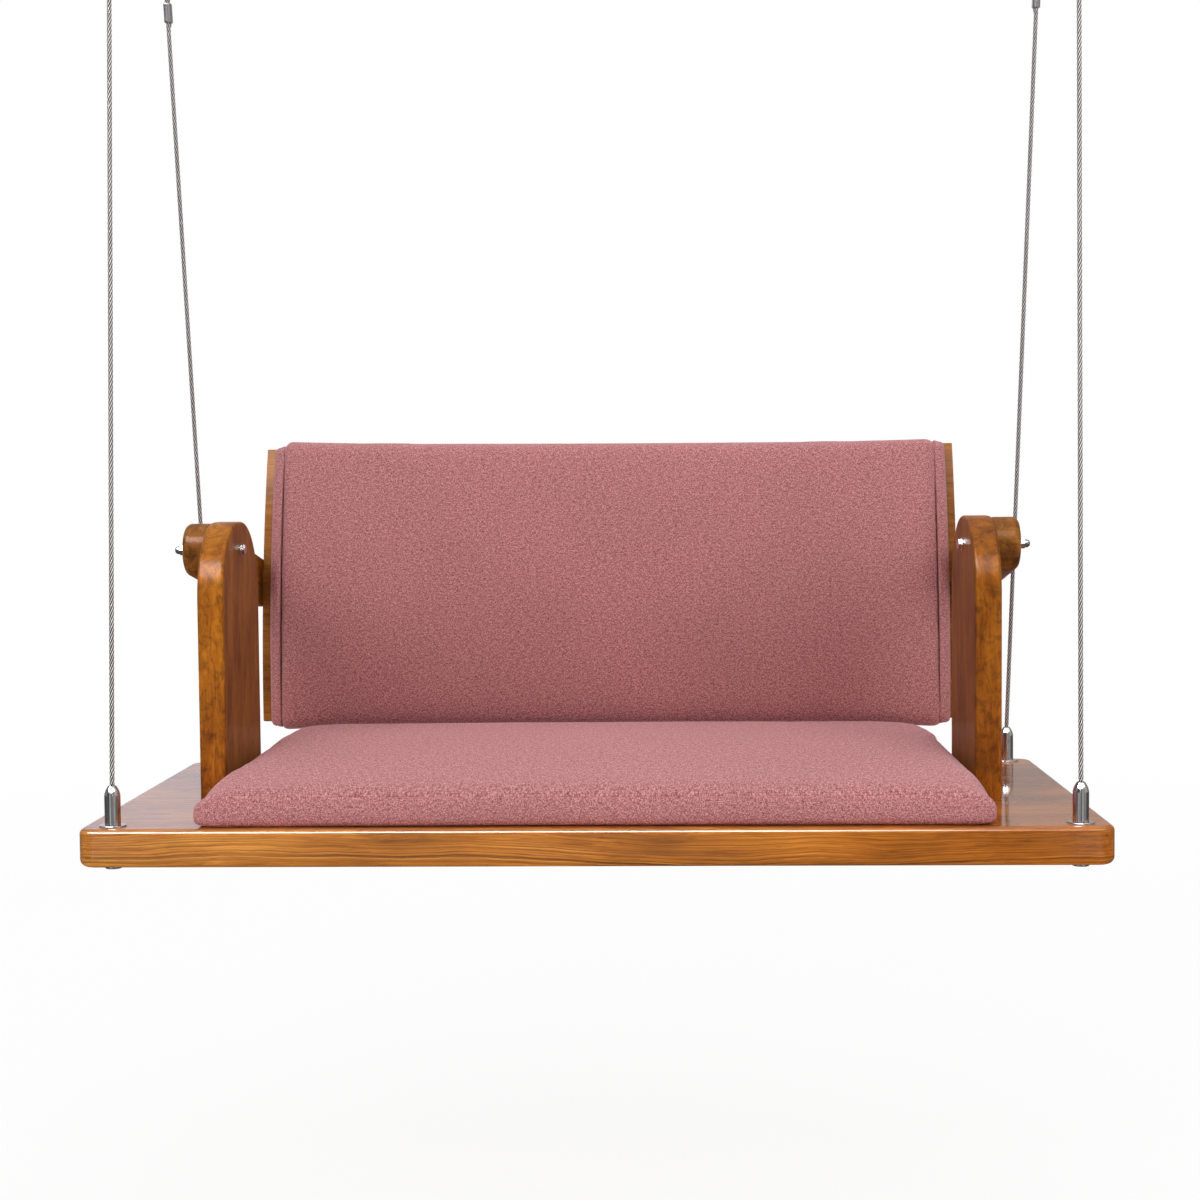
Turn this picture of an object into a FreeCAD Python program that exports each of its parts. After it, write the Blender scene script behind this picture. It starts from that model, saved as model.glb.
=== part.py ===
import FreeCAD, Part
import math
import os

import Sketcher
from FreeCAD import Placement, Rotation, Vector

# A ceiling-hung bench swing with a flip-over backrest. Millimetres, +Z up, +X to the right, +Y to the
# back. The origin is the middle of the four ceiling studs, on the underside of the ceiling.

SIZES = [
    # seat board
    ("board_width", 1219.2, "seat board from side to side"),
    ("board_depth", 609.6, "seat board from front to back"),
    ("board_thick", 46.0, "seat board thickness"),
    ("board_corner", 22.0, "radius of the board's four corners in plan"),
    ("board_top_round", 7.0, "rounding along the board's top edge"),
    ("board_under_round", 9.0, "rounding along the board's lower edge"),
    # ropes and the line they follow
    ("hook_height", 2290.0, "point that the ropes aim at, above the board's top"),
    ("hook_out", 56.0, "that point, sideways from the rope fittings"),
    ("hook_setback", 90.3, "that point, behind the board's middle, over the centre of mass"),
    ("pin_height", 1140.0, "hanger pins above the board's top"),
    ("pin_depth", 40.0, "hanger pins below the ceiling"),
    ("rope_dia", 6.0, "steel wire rope"),
    ("rope_play", 0.3, "play round the rope's lower end in its fitting"),
    # rope fitting on the board
    ("fitting_side_inset", 37.6, "rope fittings, in from the board's sides"),
    ("fitting_end_inset", 28.8, "rope fittings, in from the board's front and back"),
    ("barrel_dia", 19.0, "fitting's straight barrel"),
    ("barrel_tall", 35.2, "straight barrel above its flange"),
    ("nose_tall", 11.5, "tapering nose above the barrel"),
    ("nose_tip_dia", 9.0, "nose at its top"),
    ("nose_bend", 24.0, "radius of the nose's flank"),
    ("flange_dia", 32.5, "flange under the barrel"),
    ("flange_thick", 1.8, "flange thickness"),
    ("flange_round", 0.6, "rounding of the flange's rim"),
    ("rod_dia", 8.0, "threaded rod through the board"),
    ("rod_grip", 14.0, "rod's length inside the barrel"),
    ("rod_tail", 3.2, "rod's length inside the lower nut"),
    ("lower_nut_dia", 21.0, "round nut under the board"),
    ("lower_nut_tall", 4.2, "height of that nut"),
    ("lower_nut_bevel", 1.0, "bevel of that nut"),
    ("grub_dia", 4.0, "grub screw in the barrel"),
    ("grub_height", 27.0, "grub screw above the barrel's foot"),
    ("grub_long", 5.6, "grub screw length"),
    ("grub_sink", 0.6, "grub screw below the barrel's face"),
    ("socket_dia", 2.2, "socket in the grub screw"),
    ("socket_deep", 2.0, "depth of that socket"),
    # posts
    ("post_inset", 100.6, "outer face of a post, in from the board's side"),
    ("post_thick", 34.0, "post thickness"),
    ("post_wide", 228.0, "post from front to back"),
    ("post_tall", 356.0, "post above the board"),
    ("post_shoulder", 100.0, "radius of the post's shoulders"),
    ("post_round", 4.5, "rounding along the post's edges"),
    ("post_setback", 22.0, "post and pivot behind the board's middle"),
    ("pivot_drop", 37.0, "pivot below the post's top"),
    # what holds a post to the board
    ("dowel_dia", 10.0, "wooden dowels"),
    ("dowel_grip", 28.0, "dowel's length in each piece it joins"),
    ("post_dowel_spread", 82.0, "post dowels, either side of the post's middle"),
    ("screw_dia", 6.0, "post screws"),
    ("screw_grip", 50.0, "screw's length in the post"),
    ("screw_head_dia", 12.0, "screw head"),
    ("screw_head_tall", 3.5, "screw head height"),
    ("screw_sink", 6.0, "depth of the recess for the screw head"),
    ("post_screw_spread", 42.0, "post screws, either side of the post's middle"),
    # pivot
    ("pivot_dia", 8.0, "pivot bolt"),
    ("bolt_across", 13.0, "bolt head and nut across their flats"),
    ("bolt_head_tall", 5.3, "bolt head height"),
    ("bolt_head_bevel", 0.8, "bevel of the bolt head"),
    ("washer_dia", 17.0, "washer"),
    ("washer_thick", 1.6, "washer thickness"),
    ("nut_hex_tall", 6.5, "six-sided part of the dome nut"),
    ("dome_dia", 10.6, "dome of the nut"),
    ("dome_tall", 7.6, "dome's height above the six-sided part"),
    ("dome_round", 5.1, "rounding of the dome"),
    ("nut_bore_deep", 9.0, "blind bore of the dome nut"),
    ("bush_wall", 3.0, "wall of the bush in the arm"),
    ("bush_play", 0.05, "running clearance of the bolt in its bush"),
    ("side_play", 0.2, "clearance each side of a turning arm"),
    ("spacer_thick", 2.1, "washer between post and arm"),
    ("hole_play", 0.1, "clearance round a rod, dowel or screw in its hole"),
    # arms
    ("arm_thick", 35.0, "arm thickness"),
    ("arm_tall", 70.0, "arm from its top edge to its lower edge"),
    ("arm_past", 33.0, "arm beyond the middle of the wooden back"),
    ("arm_end_round", 34.6, "rounding of the arm's ends, seen from the side"),
    ("arm_outer_round", 9.0, "rounding along the arm's outer edges"),
    ("arm_inner_round", 2.5, "rounding along the arm's inner edges"),
    ("arm_slope_angle", 10.0, "arm's slope down to the back, in degrees"),
    # wooden back
    ("back_reach", 356.0, "pivot to the front of the wooden back, at its top and foot"),
    ("back_tall", 408.0, "height of the wooden back"),
    ("back_thick", 20.0, "thickness of the wooden back"),
    ("back_bow", 20.0, "bow of the wooden back towards the sitter"),
    ("back_round", 3.0, "rounding of the wooden back's long edges"),
    ("arm_dowel_spread", 16.0, "arm dowels, above and below the arm's middle"),
    # pad on the wooden back
    ("pad_inset", 18.5, "pad, in from the arms"),
    ("pad_tall", 425.0, "pad height"),
    ("pad_drop", 5.5, "pad's middle below the wood's middle"),
    ("pad_thick", 57.0, "pad thickness at its middle"),
    ("pad_rim_thick", 50.0, "pad thickness at its top and foot"),
    ("pad_edge_round", 13.0, "drawn-in rim at the pad's top and foot"),
    ("pad_gap", 0.3, "gap between pad and wood"),
    # seat cushion
    ("cushion_side_gap", 1.0, "gap between seat cushion and posts"),
    ("cushion_inset", 4.8, "seat cushion, in from the board's front and back"),
    ("cushion_front_edge", 44.0, "seat cushion height at its front rim"),
    ("cushion_rear_edge", 61.0, "seat cushion height at its rear rim"),
    ("cushion_crown", 64.0, "seat cushion height at its crown"),
    ("cushion_crown_back", 120.0, "crown behind the cushion's middle"),
    ("cushion_front_round", 24.0, "rounding of its front rim"),
    ("cushion_rear_round", 38.0, "rounding of its rear rim"),
    ("cushion_under_round", 8.0, "rounding of its lower rim"),
    ("cushion_gap", 0.3, "gap between cushion and board"),
    # rope eye
    ("eye_inner", 12.0, "inner radius of the thimble"),
    ("thimble_wall", 1.8, "thimble wall under the rope"),
    ("thimble_lip", 2.4, "height of the thimble's lips beside the rope"),
    ("thimble_wide", 9.0, "thimble across its lips"),
    ("thimble_play", 0.2, "gap between rope and thimble"),
    ("eye_long", 52.0, "middle of the eye to the sleeve"),
    ("leg_long", 30.0, "middle of the eye to the thimble's point"),
    ("strand_gap", 0.6, "gap between the rope and its tail in the sleeve"),
    ("sleeve_long", 26.0, "pressed sleeve length"),
    ("sleeve_wall", 2.2, "sleeve wall outside the rope"),
    ("sleeve_round", 1.1, "rounding of the sleeve's ends"),
    ("tail_out", 5.0, "rope's tail below the sleeve"),
    ("pin_rest", 0.25, "gap between a front eye and its pin"),
    ("rear_eye_lag", 2.34, "how far a rear eye stands ahead of its pin at rest"),
    ("rear_eye_drop", 5.6, "rear pin above the middle of its eye"),
    # ceiling hangers
    ("pin_dia", 10.0, "hanger pin"),
    ("pin_head_dia", 16.0, "head of the hanger pin"),
    ("pin_head_tall", 5.0, "height of that head"),
    ("pin_nut_across", 17.0, "nut on the hanger pin, across its flats"),
    ("pin_nut_tall", 8.0, "height of that nut"),
    ("pin_tail", 2.0, "pin beyond its nut"),
    ("lug_gap", 14.0, "space between a hanger's two lugs"),
    ("lug_thick", 5.0, "lug thickness"),
    ("lug_wide", 28.0, "lug from front to back"),
    ("lug_below", 14.0, "lug below its pin"),
    ("lug_round", 13.4, "rounding of the lug's foot"),
    ("plate_dia", 70.0, "round ceiling plate"),
    ("plate_thick", 6.0, "ceiling plate thickness"),
    ("plate_bevel", 1.5, "bevel of the plate's rim"),
    ("stud_dia", 10.0, "stud into the ceiling"),
    ("stud_long", 35.0, "stud's length"),
]

doc = FreeCAD.newDocument("bench_swing")
sheet = doc.addObject("Spreadsheet::Sheet", "sizes")
for row, (alias, number, note) in enumerate(SIZES, 1):
    sheet.set(f"A{row}", alias)
    sheet.set(f"B{row}", str(number))
    sheet.set(f"C{row}", note)
    sheet.setAlias(f"B{row}", alias)
doc.recompute()

# Places that several pieces share, as expressions on the sheet.
TIP = "(sizes.flange_thick + sizes.barrel_tall + sizes.nose_tall)"
FITTING_X = "(sizes.board_width / 2 - sizes.fitting_side_inset)"
FITTING_Y = "(sizes.board_depth / 2 - sizes.fitting_end_inset)"
ROPE_SHARE = f"((sizes.pin_height - {TIP}) / (sizes.hook_height - {TIP}))"
BOARD_Y = f"(-{ROPE_SHARE} * sizes.hook_setback)"
BOARD_Z = "(-sizes.pin_height - sizes.pin_depth)"
PIN_X = f"({FITTING_X} + {ROPE_SHARE} * sizes.hook_out)"
PIN_Y = f"({FITTING_Y} * (1 - {ROPE_SHARE}))"
PIVOT_Y = f"({BOARD_Y} + sizes.post_setback)"
PIVOT_Z = f"({BOARD_Z} + sizes.post_tall - sizes.pivot_drop)"
POST_OUTER = "(sizes.board_width / 2 - sizes.post_inset)"
POST_INNER = f"({POST_OUTER} - sizes.post_thick)"
ARM_INNER = f"({POST_OUTER} + sizes.spacer_thick + 2 * sizes.side_play)"
ARM_OUTER = f"({ARM_INNER} + sizes.arm_thick)"
WASHER_OUTER = f"({ARM_OUTER} + sizes.side_play + sizes.washer_thick)"
LUG_OUTER = "(sizes.lug_gap / 2 + sizes.lug_thick)"
BUSH_DIA = "(sizes.pivot_dia + 2 * sizes.bush_play + 2 * sizes.bush_wall)"
BACK_MIDDLE = "(sizes.back_reach - sizes.back_bow + sizes.back_thick / 2)"
ARM_DOWELS = [(BACK_MIDDLE, f"{up} * sizes.arm_dowel_spread") for up in (-1, 1)]

# Stations of a soft form from end to end, as shares of its half width, with the shares of its full
# thickness and of its full outline that it has there.
HALF_STATION_SHARES = (
    (1.0, 0.46, 0.966), (0.993, 0.64, 0.981), (0.978, 0.79, 0.993), (0.95, 0.89, 1.0), (0.86, 0.945, 0.999),
    (0.6, 0.98, 0.995), (0.3, 0.995, 0.992),
)
HALF_CUSHION_SHARES = (
    (1.0, 0.35, 0.962), (0.993, 0.53, 0.980), (0.978, 0.66, 0.994), (0.95, 0.81, 1.0), (0.9, 0.92, 1.0),
    (0.8, 0.965, 0.998), (0.6, 0.985, 0.995), (0.3, 0.997, 0.992),
)


def both_ways(half_shares):
    """The shares of one half, then those of the middle, then those of the other half."""
    mirrored = [(-along, thick, wide) for along, thick, wide in half_shares]
    return mirrored + [(0.0, 1.0, 0.991)] + list(reversed(half_shares))


STATION_SHARES = both_ways(HALF_STATION_SHARES)
CUSHION_STATION_SHARES = both_ways(HALF_CUSHION_SHARES)
# the part of a rope's straight leg that the bend at its lower corner may take
BEND_SHARE = 0.45

SIDES = (("left", -1), ("right", 1))
ENDS = (("front", -1), ("rear", 1))
CORNERS = [(end, side, ey, sx) for end, ey in ENDS for side, sx in SIDES]
nodes = []


def value(text):
    """The number that an expression on the sheet gives."""
    found = sheet.evalExpression(text.replace("sizes.", ""))
    return float(getattr(found, "Value", found))


def size(name):
    return value(f"sizes.{name}")


def new_body(label, pieces=False):
    """A body for one node. With pieces, it holds several like solids that don't touch."""
    body = doc.addObject("PartDesign::Body", label)
    body.Label = label
    body.AllowCompound = pieces
    nodes.append(body)
    return body


def origin_plane(body, role):
    return next(o for o in body.Origin.OriginFeatures if o.Role == role)


def place(body, x="0", y="0", z="0", tilt=None):
    """Puts a body at a place given by expressions, tilted about X where tilt is given."""
    for axis, text in zip("xyz", (x, y, z)):
        body.setExpression(f"Placement.Base.{axis}", text)
    if tilt:
        body.Placement.Rotation = Rotation(Vector(1, 0, 0), 0)
        body.setExpression("Placement.Rotation.Angle", tilt)
    doc.recompute()


def sketch_on(body, role, away="0"):
    """A sketch on one of the body's own planes, moved along its normal by the expression away."""
    sketch = body.newObject("Sketcher::SketchObject", f"{body.Label}_sketch")
    sketch.AttachmentSupport = [(origin_plane(body, role), "")]
    sketch.MapMode = "FlatFace"
    sketch.setExpression("AttachmentOffset.Base.z", away)
    return sketch


def bind(sketch, kind, *which, text):
    """A sketch constraint whose value is bound to an expression."""
    index = sketch.addConstraint(Sketcher.Constraint(kind, *which, value(text)))
    sketch.setExpression(f"Constraints[{index}]", text)


def outline(sketch, corners):
    """A closed outline. Each corner is (x, y, bend): bend is None where the edge to the next corner is
    straight, else (radius, side) for an arc that bulges to the right (1) or left (-1) of the way."""
    first = sketch.GeometryCount
    at = [Vector(value(x), value(y), 0) for x, y, bend in corners]
    starts = []
    for index, (x, y, bend) in enumerate(corners):
        here, there = at[index], at[(index + 1) % len(at)]
        if bend is None:
            sketch.addGeometry(Part.LineSegment(here, there))
            starts.append(1)
            continue
        radius, side = value(bend[0]), bend[1]
        chord = there - here
        rise = radius - math.sqrt(radius**2 - chord.Length**2 / 4)
        middle = (here + there) / 2 + Vector(chord.y, -chord.x, 0).normalize() * rise * side
        sketch.addGeometry(Part.Arc(here, middle, there))
        starts.append(1 if side == 1 else 2)
    for index, (x, y, bend) in enumerate(corners):
        after = (index + 1) % len(corners)
        sketch.addConstraint(
            Sketcher.Constraint(
                "Coincident", first + index, 3 - starts[index], first + after, starts[after]
            )
        )
        bind(sketch, "DistanceX", first + index, starts[index], text=x)
        bind(sketch, "DistanceY", first + index, starts[index], text=y)
        if bend is not None:
            bind(sketch, "Radius", first + index, text=bend[0])


def box_outline(sketch, left, right, low, high):
    outline(sketch, [(left, low, None), (right, low, None), (right, high, None), (left, high, None)])


def circles(sketch, places, dia):
    for x, y in places:
        centre = Vector(value(x), value(y), 0)
        index = sketch.addGeometry(Part.Circle(centre, Vector(0, 0, 1), value(dia) / 2))
        bind(sketch, "DistanceX", index, 3, text=x)
        bind(sketch, "DistanceY", index, 3, text=y)
        bind(sketch, "Diameter", index, text=dia)


def hexagon(sketch, x, y, across):
    """A hexagon with flats at its top and bottom."""
    reach = f"{across} / sqrt(3)"
    turns = (("1", "0"), ("0.5", "0.5"), ("-0.5", "0.5"), ("-1", "0"), ("-0.5", "-0.5"), ("0.5", "-0.5"))
    outline(sketch, [(f"{x} + ({a}) * {reach}", f"{y} + ({b}) * {across}", None) for a, b in turns])


def pad(body, sketch, length, midway=False, backwards=False):
    made = body.newObject("PartDesign::Pad", f"{body.Label}_pad")
    made.Profile = sketch
    made.setExpression("Length", length)
    made.Midplane = midway
    made.Reversed = backwards
    doc.recompute()
    return made


def pocket(body, sketch, depth=None, backwards=False, midway=False):
    """Cuts a sketch into a body, all the way through where no depth is given. It must remove material."""
    before = body.Shape.Volume
    cut = body.newObject("PartDesign::Pocket", f"{body.Label}_pocket")
    cut.Profile = sketch
    cut.Reversed = backwards
    cut.Midplane = midway
    if depth is None:
        cut.Type = "ThroughAll"
    else:
        cut.setExpression("Length", depth)
    doc.recompute()
    if not before - body.Shape.Volume > 0:
        raise RuntimeError(f"{cut.Label} cuts nothing")
    return cut


def turned(body, corners, role="XZ_Plane"):
    """A solid of revolution about the sketch's vertical axis."""
    sketch = sketch_on(body, role)
    outline(sketch, corners)
    made = body.newObject("PartDesign::Revolution", f"{body.Label}_turned")
    made.Profile = sketch
    made.ReferenceAxis = (sketch, ["V_Axis"])
    made.Angle = 360
    doc.recompute()
    return made


def soften(body, radius, wanted, kind="Fillet"):
    """Rounds, or with kind Chamfer bevels, the edges of the body's last feature that wanted picks."""
    last = body.Tip
    picked = [f"Edge{n}" for n, edge in enumerate(last.Shape.Edges, 1) if wanted(edge)]
    if not picked:
        raise RuntimeError(f"{body.Label} has no edge to soften")
    made = body.newObject(f"PartDesign::{kind}", f"{body.Label}_{kind.lower()}")
    made.Base = (last, picked)
    made.setExpression("Radius" if kind == "Fillet" else "Size", radius)
    doc.recompute()
    return made


NEAR = 1e-4


def lies_at(edge, **where):
    """Whether the whole edge lies at the given coordinates."""
    box = edge.BoundBox
    low = {"x": box.XMin, "y": box.YMin, "z": box.ZMin}
    high = {"x": box.XMax, "y": box.YMax, "z": box.ZMax}
    return all(abs(low[a] - v) < NEAR and abs(high[a] - v) < NEAR for a, v in where.items())


def runs_along(edge, axis):
    """Whether the edge is a straight one along this axis."""
    box = edge.BoundBox
    spans = {"x": box.XLength, "y": box.YLength, "z": box.ZLength}
    return spans.pop(axis) > NEAR and max(spans.values()) < NEAR


def four(x, y):
    """The four places at plus and minus x and y."""
    return [(f"{sx} * {x}", f"{sy} * {y}") for sx in (-1, 1) for sy in (-1, 1)]


# Seat board


def seat_board():
    """The board, with holes for the rope fittings' rods and for what holds the posts."""
    body = new_body("seat_board")
    blank = sketch_on(body, "XY_Plane")
    half_width, half_depth = "sizes.board_width / 2", "sizes.board_depth / 2"
    box_outline(blank, f"-{half_width}", half_width, f"-{half_depth}", half_depth)
    pad(body, blank, "sizes.board_thick", backwards=True)
    soften(body, "sizes.board_corner", lambda e: runs_along(e, "z"))
    soften(body, "sizes.board_top_round", lambda e: lies_at(e, z=0))
    foot = -size("board_thick")
    soften(body, "sizes.board_under_round", lambda e: lies_at(e, z=foot))
    rods = sketch_on(body, "XY_Plane")
    spots = four(FITTING_X, FITTING_Y)
    circles(rods, spots, "sizes.rod_dia + 2 * sizes.hole_play")
    pocket(body, rods)
    dowels = sketch_on(body, "XY_Plane")
    circles(dowels, post_places("sizes.post_dowel_spread"), "sizes.dowel_dia + 2 * sizes.hole_play")
    pocket(body, dowels, "sizes.dowel_grip + sizes.hole_play")
    screws = sketch_on(body, "XY_Plane")
    circles(screws, post_places("sizes.post_screw_spread"), "sizes.screw_dia + 2 * sizes.hole_play")
    pocket(body, screws)
    heads = sketch_on(body, "XY_Plane", "-sizes.board_thick")
    circles(heads, post_places("sizes.post_screw_spread"), "sizes.screw_head_dia + 2 * sizes.hole_play")
    pocket(body, heads, "sizes.screw_sink", backwards=True)
    place(body, y=BOARD_Y, z=BOARD_Z)


def post_places(spread):
    """Places of the dowels or screws under both posts, on the board's top."""
    middle = f"({POST_OUTER} - sizes.post_thick / 2)"
    return [(x, f"sizes.post_setback + {y}") for x, y in four(middle, spread)]


def post_fasteners():
    dowels = new_body("post_dowels", pieces=True)
    sketch = sketch_on(dowels, "XY_Plane")
    circles(sketch, post_places("sizes.post_dowel_spread"), "sizes.dowel_dia")
    pad(dowels, sketch, "2 * sizes.dowel_grip", midway=True)
    place(dowels, y=BOARD_Y, z=BOARD_Z)
    screws = new_body("post_screws", pieces=True)
    seat = "-sizes.board_thick + sizes.screw_sink"
    heads = sketch_on(screws, "XY_Plane", seat)
    circles(heads, post_places("sizes.post_screw_spread"), "sizes.screw_head_dia")
    pad(screws, heads, "sizes.screw_head_tall", backwards=True)
    shanks = sketch_on(screws, "XY_Plane", seat)
    circles(shanks, post_places("sizes.post_screw_spread"), "sizes.screw_dia")
    pad(screws, shanks, "sizes.board_thick - sizes.screw_sink + sizes.screw_grip")
    place(screws, y=BOARD_Y, z=BOARD_Z)


def post(side, sx):
    """A post with round shoulders, bored for the pivot bolt and drilled from below."""
    body = new_body(f"post_{side}")
    half = "sizes.post_wide / 2"
    blank = sketch_on(body, "YZ_Plane")
    box_outline(blank, f"-{half}", half, "0", "sizes.post_tall")
    pad(body, blank, "sizes.post_thick", midway=True)
    top = size("post_tall")
    soften(body, "sizes.post_shoulder", lambda e: runs_along(e, "x") and lies_at(e, z=top))
    face = size("post_thick") / 2
    soften(body, "sizes.post_round", lambda e: (
        (lies_at(e, x=face) or lies_at(e, x=-face)) and not lies_at(e, z=0)))
    bore = sketch_on(body, "YZ_Plane")
    circles(bore, [("0", "sizes.post_tall - sizes.pivot_drop")], "sizes.pivot_dia + 2 * sizes.hole_play")
    pocket(body, bore, "sizes.post_thick", midway=True)
    for spread, dia, deep in (
        ("sizes.post_dowel_spread", "sizes.dowel_dia", "sizes.dowel_grip"),
        ("sizes.post_screw_spread", "sizes.screw_dia", "sizes.screw_grip"),
    ):
        holes = sketch_on(body, "XY_Plane")
        circles(holes, [("0", f"-{spread}"), ("0", spread)], f"{dia} + 2 * sizes.hole_play")
        pocket(body, holes, f"{deep} + sizes.hole_play", backwards=True)
    middle = f"{sx} * ({POST_OUTER} - sizes.post_thick / 2)"
    place(body, middle, PIVOT_Y, BOARD_Z)


# Rope fittings on the board


def rope_fitting(end, side, ey, sx):
    """A turned barrel with an ogive nose, bored for the rope above and the rod below."""
    body = new_body(f"rope_fitting_{end}_{side}")
    foot, top = "sizes.flange_thick", TIP
    barrel, tip = "sizes.barrel_dia / 2", "sizes.nose_tip_dia / 2"
    bore = "sizes.rope_dia / 2 + sizes.rope_play"
    shoulder = "(sizes.flange_thick + sizes.barrel_tall)"
    thread = "sizes.rod_dia / 2 + sizes.hole_play"
    grip = "(sizes.flange_thick + sizes.rod_grip + sizes.hole_play)"
    turned(body, [
        (thread, foot, None), (barrel, foot, None), (barrel, shoulder, ("sizes.nose_bend", 1)),
        (tip, top, None), (bore, top, None), (bore, grip, None), (thread, grip, None),
    ])
    hole = sketch_on(body, "XZ_Plane")
    circles(hole, [("0", f"{foot} + sizes.grub_height")], "sizes.grub_dia + 2 * sizes.hole_play")
    pocket(body, hole, "sizes.barrel_dia / 2", backwards=(ey > 0))
    place(body, f"{sx} * {FITTING_X}", f"{BOARD_Y} + {ey} * {FITTING_Y}", BOARD_Z)


def fitting_hardware():
    """Flanges, rods, lower nuts and grub screws, four of each."""
    spots = four(FITTING_X, FITTING_Y)
    flanges = new_body("fitting_flanges", pieces=True)
    discs = sketch_on(flanges, "XY_Plane")
    circles(discs, spots, "sizes.flange_dia")
    pad(flanges, discs, "sizes.flange_thick")
    rim = size("flange_thick")
    soften(flanges, "sizes.flange_round", lambda e: lies_at(e, z=rim))
    bores = sketch_on(flanges, "XY_Plane")
    circles(bores, spots, "sizes.rod_dia + 2 * sizes.hole_play")
    pocket(flanges, bores, "sizes.flange_thick", backwards=True)
    place(flanges, y=BOARD_Y, z=BOARD_Z)

    rods = new_body("fitting_rods", pieces=True)
    ends = sketch_on(rods, "XY_Plane", "sizes.flange_thick + sizes.rod_grip")
    circles(ends, spots, "sizes.rod_dia")
    long = "sizes.flange_thick + sizes.rod_grip + sizes.board_thick + sizes.rod_tail"
    pad(rods, ends, long, backwards=True)
    place(rods, y=BOARD_Y, z=BOARD_Z)

    nuts = new_body("fitting_nuts", pieces=True)
    discs = sketch_on(nuts, "XY_Plane", "-sizes.board_thick")
    circles(discs, spots, "sizes.lower_nut_dia")
    pad(nuts, discs, "sizes.lower_nut_tall", backwards=True)
    foot = -size("board_thick") - size("lower_nut_tall")
    soften(nuts, "sizes.lower_nut_bevel", lambda e: lies_at(e, z=foot), "Chamfer")
    bores = sketch_on(nuts, "XY_Plane", "-sizes.board_thick")
    circles(bores, spots, "sizes.rod_dia + 2 * sizes.hole_play")
    pocket(nuts, bores, "sizes.lower_nut_tall")
    place(nuts, y=BOARD_Y, z=BOARD_Z)

    grubs = new_body("grub_screws", pieces=True)
    spots = [(f"{sx} * {FITTING_X}", "sizes.flange_thick + sizes.grub_height") for sx in (-1, 1)]
    for end, ey in ENDS:
        face = f"{-ey} * ({FITTING_Y} - sizes.barrel_dia / 2 + sizes.grub_sink)"
        for dia, deep, make in (
            ("sizes.grub_dia", "sizes.grub_long", pad), ("sizes.socket_dia", "sizes.socket_deep", pocket)
        ):
            sketch = sketch_on(grubs, "XZ_Plane", face)
            circles(sketch, spots, dia)
            make(grubs, sketch, deep, backwards=(ey > 0) == (make is pad))
    place(grubs, y=BOARD_Y, z=BOARD_Z)


# Pivot between posts and arms


def on_both_sides(body, near, make):
    """Repeats a feature on the left and right, starting near that far from the middle, going outwards."""
    for sx in (-1, 1):
        make(sketch_on(body, "YZ_Plane", f"{sx} * ({near})"), sx < 0)


def pivot_hardware():
    """The two pivot bolts with their washers, spacers and dome nuts, all held still by the posts."""
    centre = [("0", "0")]
    head_at = f"{POST_INNER} - sizes.washer_thick"
    for side, sx in SIDES:
        bolt = new_body(f"pivot_bolt_{side}")
        head = sketch_on(bolt, "YZ_Plane", f"{sx} * ({head_at})")
        hexagon(head, "0", "0", "sizes.bolt_across")
        pad(bolt, head, "sizes.bolt_head_tall", backwards=(sx > 0))
        rim = value(f"{sx} * ({head_at} - sizes.bolt_head_tall)")
        soften(bolt, "sizes.bolt_head_bevel", lambda e: lies_at(e, x=rim), "Chamfer")
        shank = sketch_on(bolt, "YZ_Plane", f"{sx} * ({head_at})")
        circles(shank, centre, "sizes.pivot_dia")
        long = f"{WASHER_OUTER} + sizes.nut_bore_deep - sizes.hole_play - ({head_at})"
        pad(bolt, shank, long, backwards=(sx < 0))
        place(bolt, y=PIVOT_Y, z=PIVOT_Z)

    for label, starts, thick in (
        ("pivot_washers", (head_at, f"{ARM_OUTER} + sizes.side_play"), "sizes.washer_thick"),
        ("pivot_spacers", (POST_OUTER,), "sizes.spacer_thick + sizes.side_play"),
    ):
        rings = new_body(label, pieces=True)
        for start in starts:
            on_both_sides(rings, start, lambda sketch, back: (
                circles(sketch, centre, "sizes.washer_dia"), pad(rings, sketch, thick, backwards=back)))
            on_both_sides(rings, start, lambda sketch, back: (
                circles(sketch, centre, "sizes.pivot_dia + 2 * sizes.hole_play"),
                pocket(rings, sketch, thick, backwards=not back)))
        place(rings, y=PIVOT_Y, z=PIVOT_Z)

    nuts = new_body("dome_nuts", pieces=True)
    on_both_sides(nuts, WASHER_OUTER, lambda sketch, back: (
        hexagon(sketch, "0", "0", "sizes.bolt_across"),
        pad(nuts, sketch, "sizes.nut_hex_tall", backwards=back)))
    top = f"({WASHER_OUTER} + sizes.nut_hex_tall)"
    on_both_sides(nuts, top, lambda sketch, back: (
        circles(sketch, centre, "sizes.dome_dia"), pad(nuts, sketch, "sizes.dome_tall", backwards=back)))
    end = value(f"{top} + sizes.dome_tall")
    soften(nuts, "sizes.dome_round", lambda e: lies_at(e, x=end) or lies_at(e, x=-end))
    on_both_sides(nuts, WASHER_OUTER, lambda sketch, back: (
        circles(sketch, centre, "sizes.pivot_dia + 2 * sizes.hole_play"),
        pocket(nuts, sketch, "sizes.nut_bore_deep", backwards=not back)))
    place(nuts, y=PIVOT_Y, z=PIVOT_Z)


# Backrest: arms, wooden back and pad, drawn level and then tilted about the pivot


def tilted(body, x="0"):
    place(body, x, PIVOT_Y, PIVOT_Z, tilt="-sizes.arm_slope_angle")


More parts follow.
